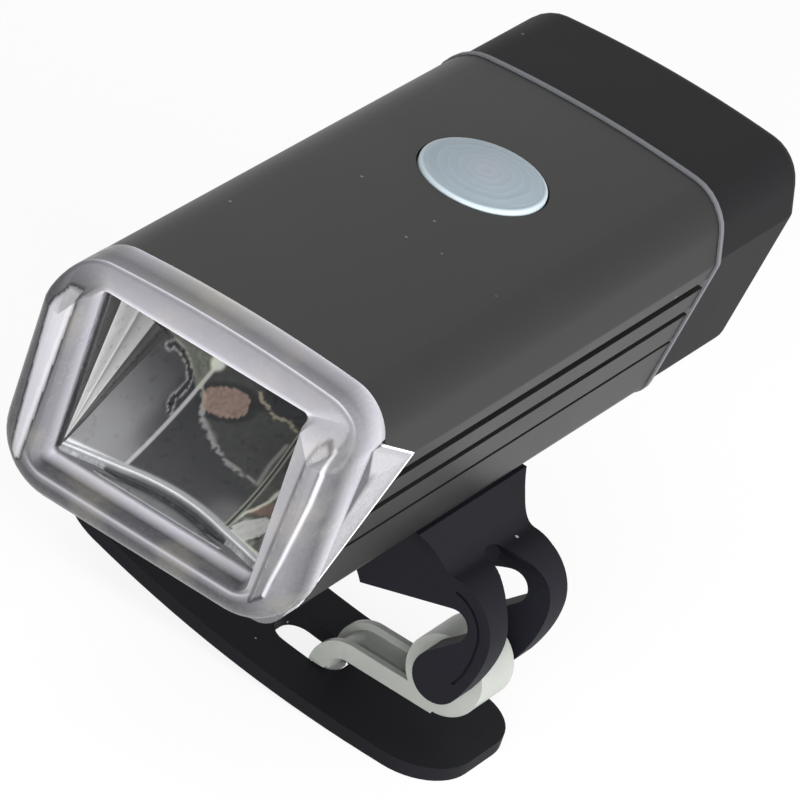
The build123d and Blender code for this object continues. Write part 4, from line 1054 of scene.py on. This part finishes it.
# each side wall is a fan of facets from its lower front corner: upper ends (y, z) and grey levels of the
# painted reflections along them
fan = [
    ((-37.9, 39.6), 70), ((-36.2, 38.6), 52), ((-35.7, 38.2), 44), ((-35.55, 38.05), 250),
    ((-35.2, 37.8), 228), ((-33.3, 36.8), 206), ((-31.9, 35.7), 222), ((-31.6, 35.5), 254),
    ((-31.2, 35.2), 254), ((-31.0, 35.0), 150), ((-29.8, 34.3), 206), ((-28.2, 33.2), 232),
    ((-27.3, 32.4), 252), ((-27.0, 32.2), 60), ((-25.8, 31.3), 110), ((-24.8, 30.6), 40),
    ((-24.3, 30.0), 90), ((-22.0, 30.2), 60),
]
fanTip, fanSteps = (11.85, -37.85, 22.6), 24
wallBack = {"x": 11.9, "front": -38.0, "rear": -12.5, "low": 21.6, "top": 40.0, "level": 46}
for side in (-1, 1):
    loops, paintedLights = [], []
    for (y, z), level in fan:
        row, shades = [], []
        for k in range(fanSteps + 1):
            share = 0.02 + 0.98 * k / fanSteps
            x, along, up = mixed(fanTip, (11.6, y, z), share)
            row.append((side * x, along, up))
            mottle = 0 if level >= 245 else 14 * noise.noise(Vector((y * 3, share * 9, z)))
            tint = (1, 1.0, 0.99 if level > 100 else 0.94)
            shades.append(fromScreen(min(brightest, level + mottle), tint, mirrorWhite))
        loops.append(row)
        paintedLights.append(shades)
    parts.append(wrapped("sideWall", loops, paintedLights, False))
    # a flat back behind each fan, painted dark
    x, low, top = side * wallBack["x"], wallBack["low"], wallBack["top"]
    loops = [[(x, y, low), (x, y, top)] for y in (wallBack["front"], wallBack["rear"])]
    parts.append(wrapped("wallBack", loops, [[fromScreen(wallBack["level"])] * 2] * 2, False))

# the ledge below the scoop, row by row forwards from the lip: shift in y, height and grey level of its
# painted reflections and shade
ledgeRows = [
    (0.1, 22.0, 246), (-0.4, 22.04, 246), (-0.5, 21.95, 120), (-0.62, 21.6, 34), (-1.0, 21.3, 28),
    (-1.5, 21.25, 58), (-1.9, 21.3, 70), (-2.3, 21.5, 96), (-2.6, 21.55, 128), (-3.0, 21.55, 146),
    (-4.2, 21.55, 152),
]
ledgeFront, ledgeSteps = -38.3, 120
ledge, ledgePaintedLight = [], []
for shift, z, level in ledgeRows:
    row, shades = [], []
    for k in range(ledgeSteps + 1):
        x = between(-scoop["wallHalf"], scoop["wallHalf"], k / ledgeSteps)
        y = max(ledgeFront, lipPlace(x) + shift)
        row.append((x, y, z))
        # painted glints in the dark band below the lip, and painted bright reflection towards the sides
        paintedGlints = -2.0 < shift < -1.3 and abs(x) < 5.5
        shade = level + (110 * max(0.0, grain(x, y, 3.5)) if paintedGlints else 10 * grain(x, y, 3))
        if abs(x) > 7.2 and shift < -0.55:
            shade = 150 + 60 * grain(x, y, 4)
        shades.append(fromScreen(min(brightest, max(darkest, shade)), (0.97, 1.0, 1.03), mirrorWhite))
    ledge.append(row)
    ledgePaintedLight.append(shades)
parts.append(wrapped("ledge", ledge, ledgePaintedLight, False))
bowl = join(parts, "reflectorBowl")
editAll(bowl)
bpy.ops.mesh.normals_make_consistent(inside=False)
applied(bowl, "SOLIDIFY", thickness=scoop["metal"] * mm, offset=-1)
done(bowl, "housing", "reflector_metal", "reflector", angle=24, weighted=False)

# the dark ceiling over the scoop, and the bare copper in its lacquer
ceilingProfile = [(-37.9, 39.6), (-35.4, 38.0), (-11.9, 38.0), (-11.9, 39.3), (-34.9, 39.3), (-37.4, 40.0),
                  (-37.9, 40.0)]
ceiling = prism("scoopCeiling", ceilingProfile, "X", -lens["windowHalf"], lens["windowHalf"])
soften(ceiling, 0.1, 2, 40)
lacquer = plainLook("ceilingLacquer", (0.022, 0.024, 0.026), 0.4, 700, 0.5)
done(ceiling, "housing", "inner_plastic", "reflector", lacquer)
copper = prism("copperWindow", rounded(plate(-9.6, -24.6, -5.2, -20.6, 1.1), 5), "Z", 37.9, 38.4)
soften(copper, 0.04, 2, 40)
done(copper, "housing", "board_copper", "reflector")
print("reflector made")

bracket = {
    "half": 7.5, "wide": 10.3, "top": 16.3, "flare": (8.4, 14.1), "flareEnd": 11.9, "length": 14.6,
    "bar": 11.1, "saddleHalf": 9.25, "hookX": 18.6, "hookZ": 6.6, "hookRadius": 5.8, "tipX": 20.2,
    "tipZ": 1.3, "tipRadius": 2.8, "throatX": 19.83, "throatZ": 7.45, "throatRadius": 1.8, "lugX": -14.9,
    "lugZ": 11.4, "lugRadius": 3, "lugGap": 4.8, "slot": 4.1, "slotStart": 15.4, "archZ": 8.6,
    "pinX": 19.8, "pinZ": 0.8, "pinBore": 1.02, "pinHalf": 6.3, "fit": 0.01, "edge": 0.35,
}


def bracketOutline():
    # over the top and the hook, back through the throat, along the saddle and round the lug
    sizes = bracket
    saddleTurn = math.degrees(math.acos(sizes["saddleHalf"] / sizes["bar"]))
    points = glide((sizes["length"], sizes["top"]), (15.1, 15.7), (15.5, 15.2), (16.0, 14.6), 4)
    points += glide(points[-1], (16.7, 13.7), (17.5, 12.4), (sizes["hookX"], 12.4), 8)[1:]
    points += arc(sizes["hookX"], sizes["hookZ"], sizes["hookRadius"], 90, 0, 16)[1:]
    tip = arc(sizes["tipX"], sizes["tipZ"], sizes["tipRadius"], -25, -225, 18)
    points += glide(points[-1], (24.4, 4.3), (23.66, 2.12), tip[0], 8)[1:]
    points += tip[1:]
    points += arc(sizes["throatX"], sizes["throatZ"], sizes["throatRadius"], -45, 107, 12)
    points += arc(0, 0, sizes["bar"], saddleTurn, 180 - saddleTurn, 28)
    points += arc(sizes["lugX"], sizes["lugZ"], sizes["lugRadius"], -90, -270, 16)
    return points + [(-13.9, 14.7), (-sizes["length"], sizes["top"])]


def mirroredWith(points):
    # the other half of a plan outline, across its first axis
    return points + [(-u, v) for u, v in points[::-1]]


wide, fit = bracket["wide"], bracket["fit"]
rubber = prism("rubberBracket", bracketOutline(), "Y", -wide, wide)
flank = [(wide, bracket["top"] + 1)]
flank += threePointArc((wide, bracket["top"]), bracket["flare"], (bracket["half"], bracket["flareEnd"]), 12)
flank = mirroredWith(flank + [(bracket["half"], -8)])
cut(rubber, prism("flareKeep", flank, "X", -30, 30), "INTERSECT")
gap = arc(bracket["slotStart"] + bracket["slot"], 0, bracket["slot"], 90, 270, 20)
gap += [(32, -bracket["slot"]), (32, bracket["slot"])]
slot = prism("hookSlot", gap, "Z", -8, 18)
arch = arc(0, bracket["archZ"], bracket["slot"] + fit, 0, 180, 28)
arch += [(-bracket["slot"] - fit, -9), (bracket["slot"] + fit, -9)]
cut(slot, prism("archKeep", arch, "X", 8, 34), "INTERSECT")
cut(rubber, slot)
# a shallow line follows the edge of each hook
lineFrom, lineTo, lineDepth = 1.2, 1.5, 0.3
for side in (-1, 1):
    low, high = sorted((side * (bracket["half"] - lineDepth), side * (bracket["half"] + 1)))
    line = []
    for reach in (lineFrom, lineTo):
        run = arc(bracket["hookX"], bracket["hookZ"], bracket["hookRadius"] - reach, 84, 0, 16)
        run += [(24.4 - reach, 5.2), (24.05 - reach, 3.3), (23.3 - reach, 1.6)]
        line += run if reach == lineFrom else run[::-1]
    cut(rubber, prism("stepLine", line, "Y", low, high))
lugSlot = arc(bracket["lugX"], bracket["lugZ"], bracket["lugRadius"] + fit, -90, 90, 16)
lugSlot += [(-22, bracket["lugZ"] + bracket["lugRadius"] + fit),
            (-22, bracket["lugZ"] - bracket["lugRadius"] - fit)]
cut(rubber, prism("lugGapCut", lugSlot, "Y", -bracket["lugGap"], bracket["lugGap"]))
for x, z in ((bracket["pinX"], bracket["pinZ"]), (bracket["lugX"], bracket["lugZ"])):
    bore = circle(x, z, bracket["pinBore"], 24)
    cut(rubber, prism("pinCut", bore, "Y", -bracket["pinHalf"], bracket["pinHalf"]))
# the seat of the insert, from its flange to its neck: radius and heights
for radius, low, high in ((8, 14.2, 15), (7.2, 14.6, 17), (3.4, 12.1, 14.6)):
    cut(rubber, prism("insertCut", circle(0, 0, radius, 48), "Z", low, high))
soften(rubber, bracket["edge"], 3, 35)
done(rubber, "bracket", "bracket_rubber", "rubber_bracket")
print("bracket made")

latch = {
    "half": 3.1, "barrelX": 19.1, "barrelZ": -1.0, "barrelRadius": 4.4, "armTop": -3.8, "armFloor": -5.7,
    "bendX": 8.9, "bendRadius": 4, "innerRadius": 2.1, "legEnd": -9.8, "legHalf": 2.1, "channel": 0.8,
    "channelEnd": 14.9, "rim": 0.9, "pinBore": 1.05, "edge": 0.25,
}
bendX, bendZ, bendRadius = latch["bendX"], latch["armTop"] - latch["bendRadius"], latch["bendRadius"]
profile = arc(bendX, bendZ, bendRadius, 180, 90, 14)
profile += arc(latch["barrelX"], latch["barrelZ"], latch["barrelRadius"], 219.5, -90, 44)
profile += [(latch["barrelX"], latch["armFloor"])]
profile += arc(bendX, bendZ, latch["innerRadius"], 90, 180, 10)
profile += [(bendX - latch["innerRadius"], latch["legEnd"]), (bendX - bendRadius, latch["legEnd"])]
hook = prism("latchHook", profile, "Y", -latch["half"], latch["half"])
for side in (-1, 1):
    low, high = sorted((side * latch["legHalf"], side * 5))
    cut(hook, prism("legCut", rounded(plate(3, bendZ, 9, -12)), "Y", low, high))
floorZ, openZ = latch["armTop"] - latch["channel"], latch["armTop"] + 0.8
trough = arc(bendX, bendZ, bendRadius - latch["channel"], 180, 90, 14)
trough += [(latch["channelEnd"], floorZ), (latch["channelEnd"], openZ), (4, openZ), (4, bendZ)]
cut(hook, prism("channelCut", trough, "Y", latch["rim"] - latch["half"], latch["half"] - latch["rim"]))
cut(hook, prism("pinCut", circle(bracket["pinX"], bracket["pinZ"], latch["pinBore"], 24), "Y", -5, 5))
soften(hook, latch["edge"], 3, 35)
done(hook, "latch", "latch_nylon", "latch_hook")
print("latch made")

band = {
    "half": 8.85, "thick": 1.5, "tipX": 24.6, "tipZ": -9.2, "flatX": 16, "bottomRadius": 132.4,
    "riseAngle": 15.15, "turnX": -16.472, "turnZ": 3.2586, "turnRadius": 8.1414, "tipRadius": 6.2,
    "neckHalf": 4.5, "taperStart": 3.5, "taperEnd": 8.5, "eye": 2.3, "edge": 0.3,
    "slotStart": -0.6, "slotEnd": 7.8, "slotHalf": 2.8, "slotRadius": 2.2,
}


def bandSide(offset):
    # the band's centre line moved outwards, from its free tip round to the strap pin
    low, rise = band["tipZ"] + band["bottomRadius"], band["riseAngle"]
    side = [(band["tipX"], band["tipZ"] - offset)]
    side += arc(band["flatX"], low, band["bottomRadius"] + offset, -90, -90 - rise, 16)
    side += arc(band["turnX"], band["turnZ"], band["turnRadius"] + offset, 270 - rise, 90, 30)[1:]
    return side + [(bracket["lugX"], bracket["lugZ"] + offset)]


half, thick = band["half"], band["thick"] / 2
strap = prism("strapBand", bandSide(thick) + bandSide(-thick)[::-1], "Y", -half, half)
plan = [(half, -12), (half, band["taperStart"]), (band["neckHalf"], band["taperEnd"]), (band["neckHalf"], 15)]
cut(strap, prism("taperKeep", mirroredWith(plan), "X", -30, 30), "INTERSECT")
tipX, tipRadius = band["tipX"] - band["tipRadius"], band["tipRadius"]
tip = [(-30, -half - 1), (tipX, -half - 1)] + arc(tipX, tipRadius - half, tipRadius, -90, 0, 12)
tip += [(x, -y) for x, y in tip[::-1]]
cut(strap, prism("tipKeep", tip, "Z", -14, 16), "INTERSECT")
eye = circle(bracket["lugX"], bracket["lugZ"], band["eye"], 32)
cut(strap, prism("eye", eye, "Y", -band["neckHalf"], band["neckHalf"]), "UNION")
cut(strap, prism("eyeCut", circle(bracket["lugX"], bracket["lugZ"], bracket["pinBore"], 24), "Y", -6, 6))
slot = plate(band["slotStart"], -band["slotHalf"], band["slotEnd"], band["slotHalf"], band["slotRadius"])
cut(strap, prism("slotCut", rounded(slot, 6), "Z", -14, -4))
soften(strap, band["edge"], 3, 35)
done(strap, "bracket", "strap_rubber", "strap")
print("strap made")

# a floor that the camera sees as white, the world, the lamps and the camera
deselect()
floorGap, floorWhite = 0.02, 0.86
bpy.ops.mesh.primitive_plane_add(size=4, location=(0, 0, cadBox[0][2] - floorGap * mm))
floor = bpy.context.object
floor.name = "floor"
floorLook = Look("floorLook", Base_Color=(0.9, 0.9, 0.9, 1), Roughness=0.9, Specular_IOR_Level=0.1)
glow, lit = floorLook.add("ShaderNodeEmission"), Wire(floorLook, floorLook.shader.outputs[0])
shown = floorLook.add("ShaderNodeMixShader", {}, {0: floorLook.seen() * floorWhite, 1: lit, 2: glow})
floorLook.join(shown, floorLook.nodes["Material Output"].inputs["Surface"])
floor.data.materials.append(floorLook.material)

world = bpy.data.worlds.new("studio")
bpy.context.scene.world = world
sky = Tree(world)
sky.join(sky.seen() * 0.5 + 0.5, sky.nodes["Background"].inputs["Strength"])
sky.join((1, 1, 1, 1), sky.nodes["Background"].inputs["Color"])

# places and sizes of the lamps in metres, powers in watts
lamps = {
    "sideLamp": {"place": (0.42, -0.10, 0.16), "power": 2.6, "size": (0.35, 0.3)},
    "topLamp": {"place": (-0.10, -0.15, 0.50), "power": 0.5, "size": (0.3, 0.4)},
    "frontLamp": {"place": (0.20, -0.48, 0.20), "power": 2.4, "size": (0.3, 0.25)},
}
lampTarget = Vector((0, 0, 0.025))
for name, setting in lamps.items():
    lampData = bpy.data.lights.new(name, "AREA")
    lampData.shape = "RECTANGLE"
    lampData.size, lampData.size_y = setting["size"]
    lampData.energy = setting["power"]
    lamp = bpy.data.objects.new(name, lampData)
    bpy.context.collection.objects.link(lamp)
    lamp.location = setting["place"]
    lamp.rotation_euler = (Vector(setting["place"]) - lampTarget).to_track_quat("Z", "Y").to_euler()

# the photo's camera, fitted to the housing's edges; focal is in pixels of an 800 pixel wide picture
view = {
    "right": Vector((0.80744, 0.51658, 0.28495)), "up": Vector((-0.48874, 0.31517, 0.81352)),
    "back": Vector((0.33044, -0.79613, 0.50694)), "pivot": Vector((0, 7.735, 28.694)),
    "distance": 756.3, "across": 2.917, "over": -9.885, "focal": 7711, "pixels": 800, "sensor": 36,
}
cameraData = bpy.data.cameras.new("camera")
cameraData.sensor_width = view["sensor"]
cameraData.lens = view["sensor"] * view["focal"] / view["pixels"]
cameraData.clip_start = 0.05
camera = bpy.data.objects.new("camera", cameraData)
bpy.context.collection.objects.link(camera)
eye = view["pivot"] + view["distance"] * view["back"]
eye = (eye - view["across"] * view["right"] + view["over"] * view["up"]) * mm
turn = zip(view["right"], view["up"], view["back"])
camera.matrix_world = Matrix([(*row, spot) for row, spot in zip(turn, eye)] + [(0, 0, 0, 1)])
bpy.context.scene.camera = camera
bpy.context.scene.view_settings.view_transform = "Standard"
print("stage and camera made")
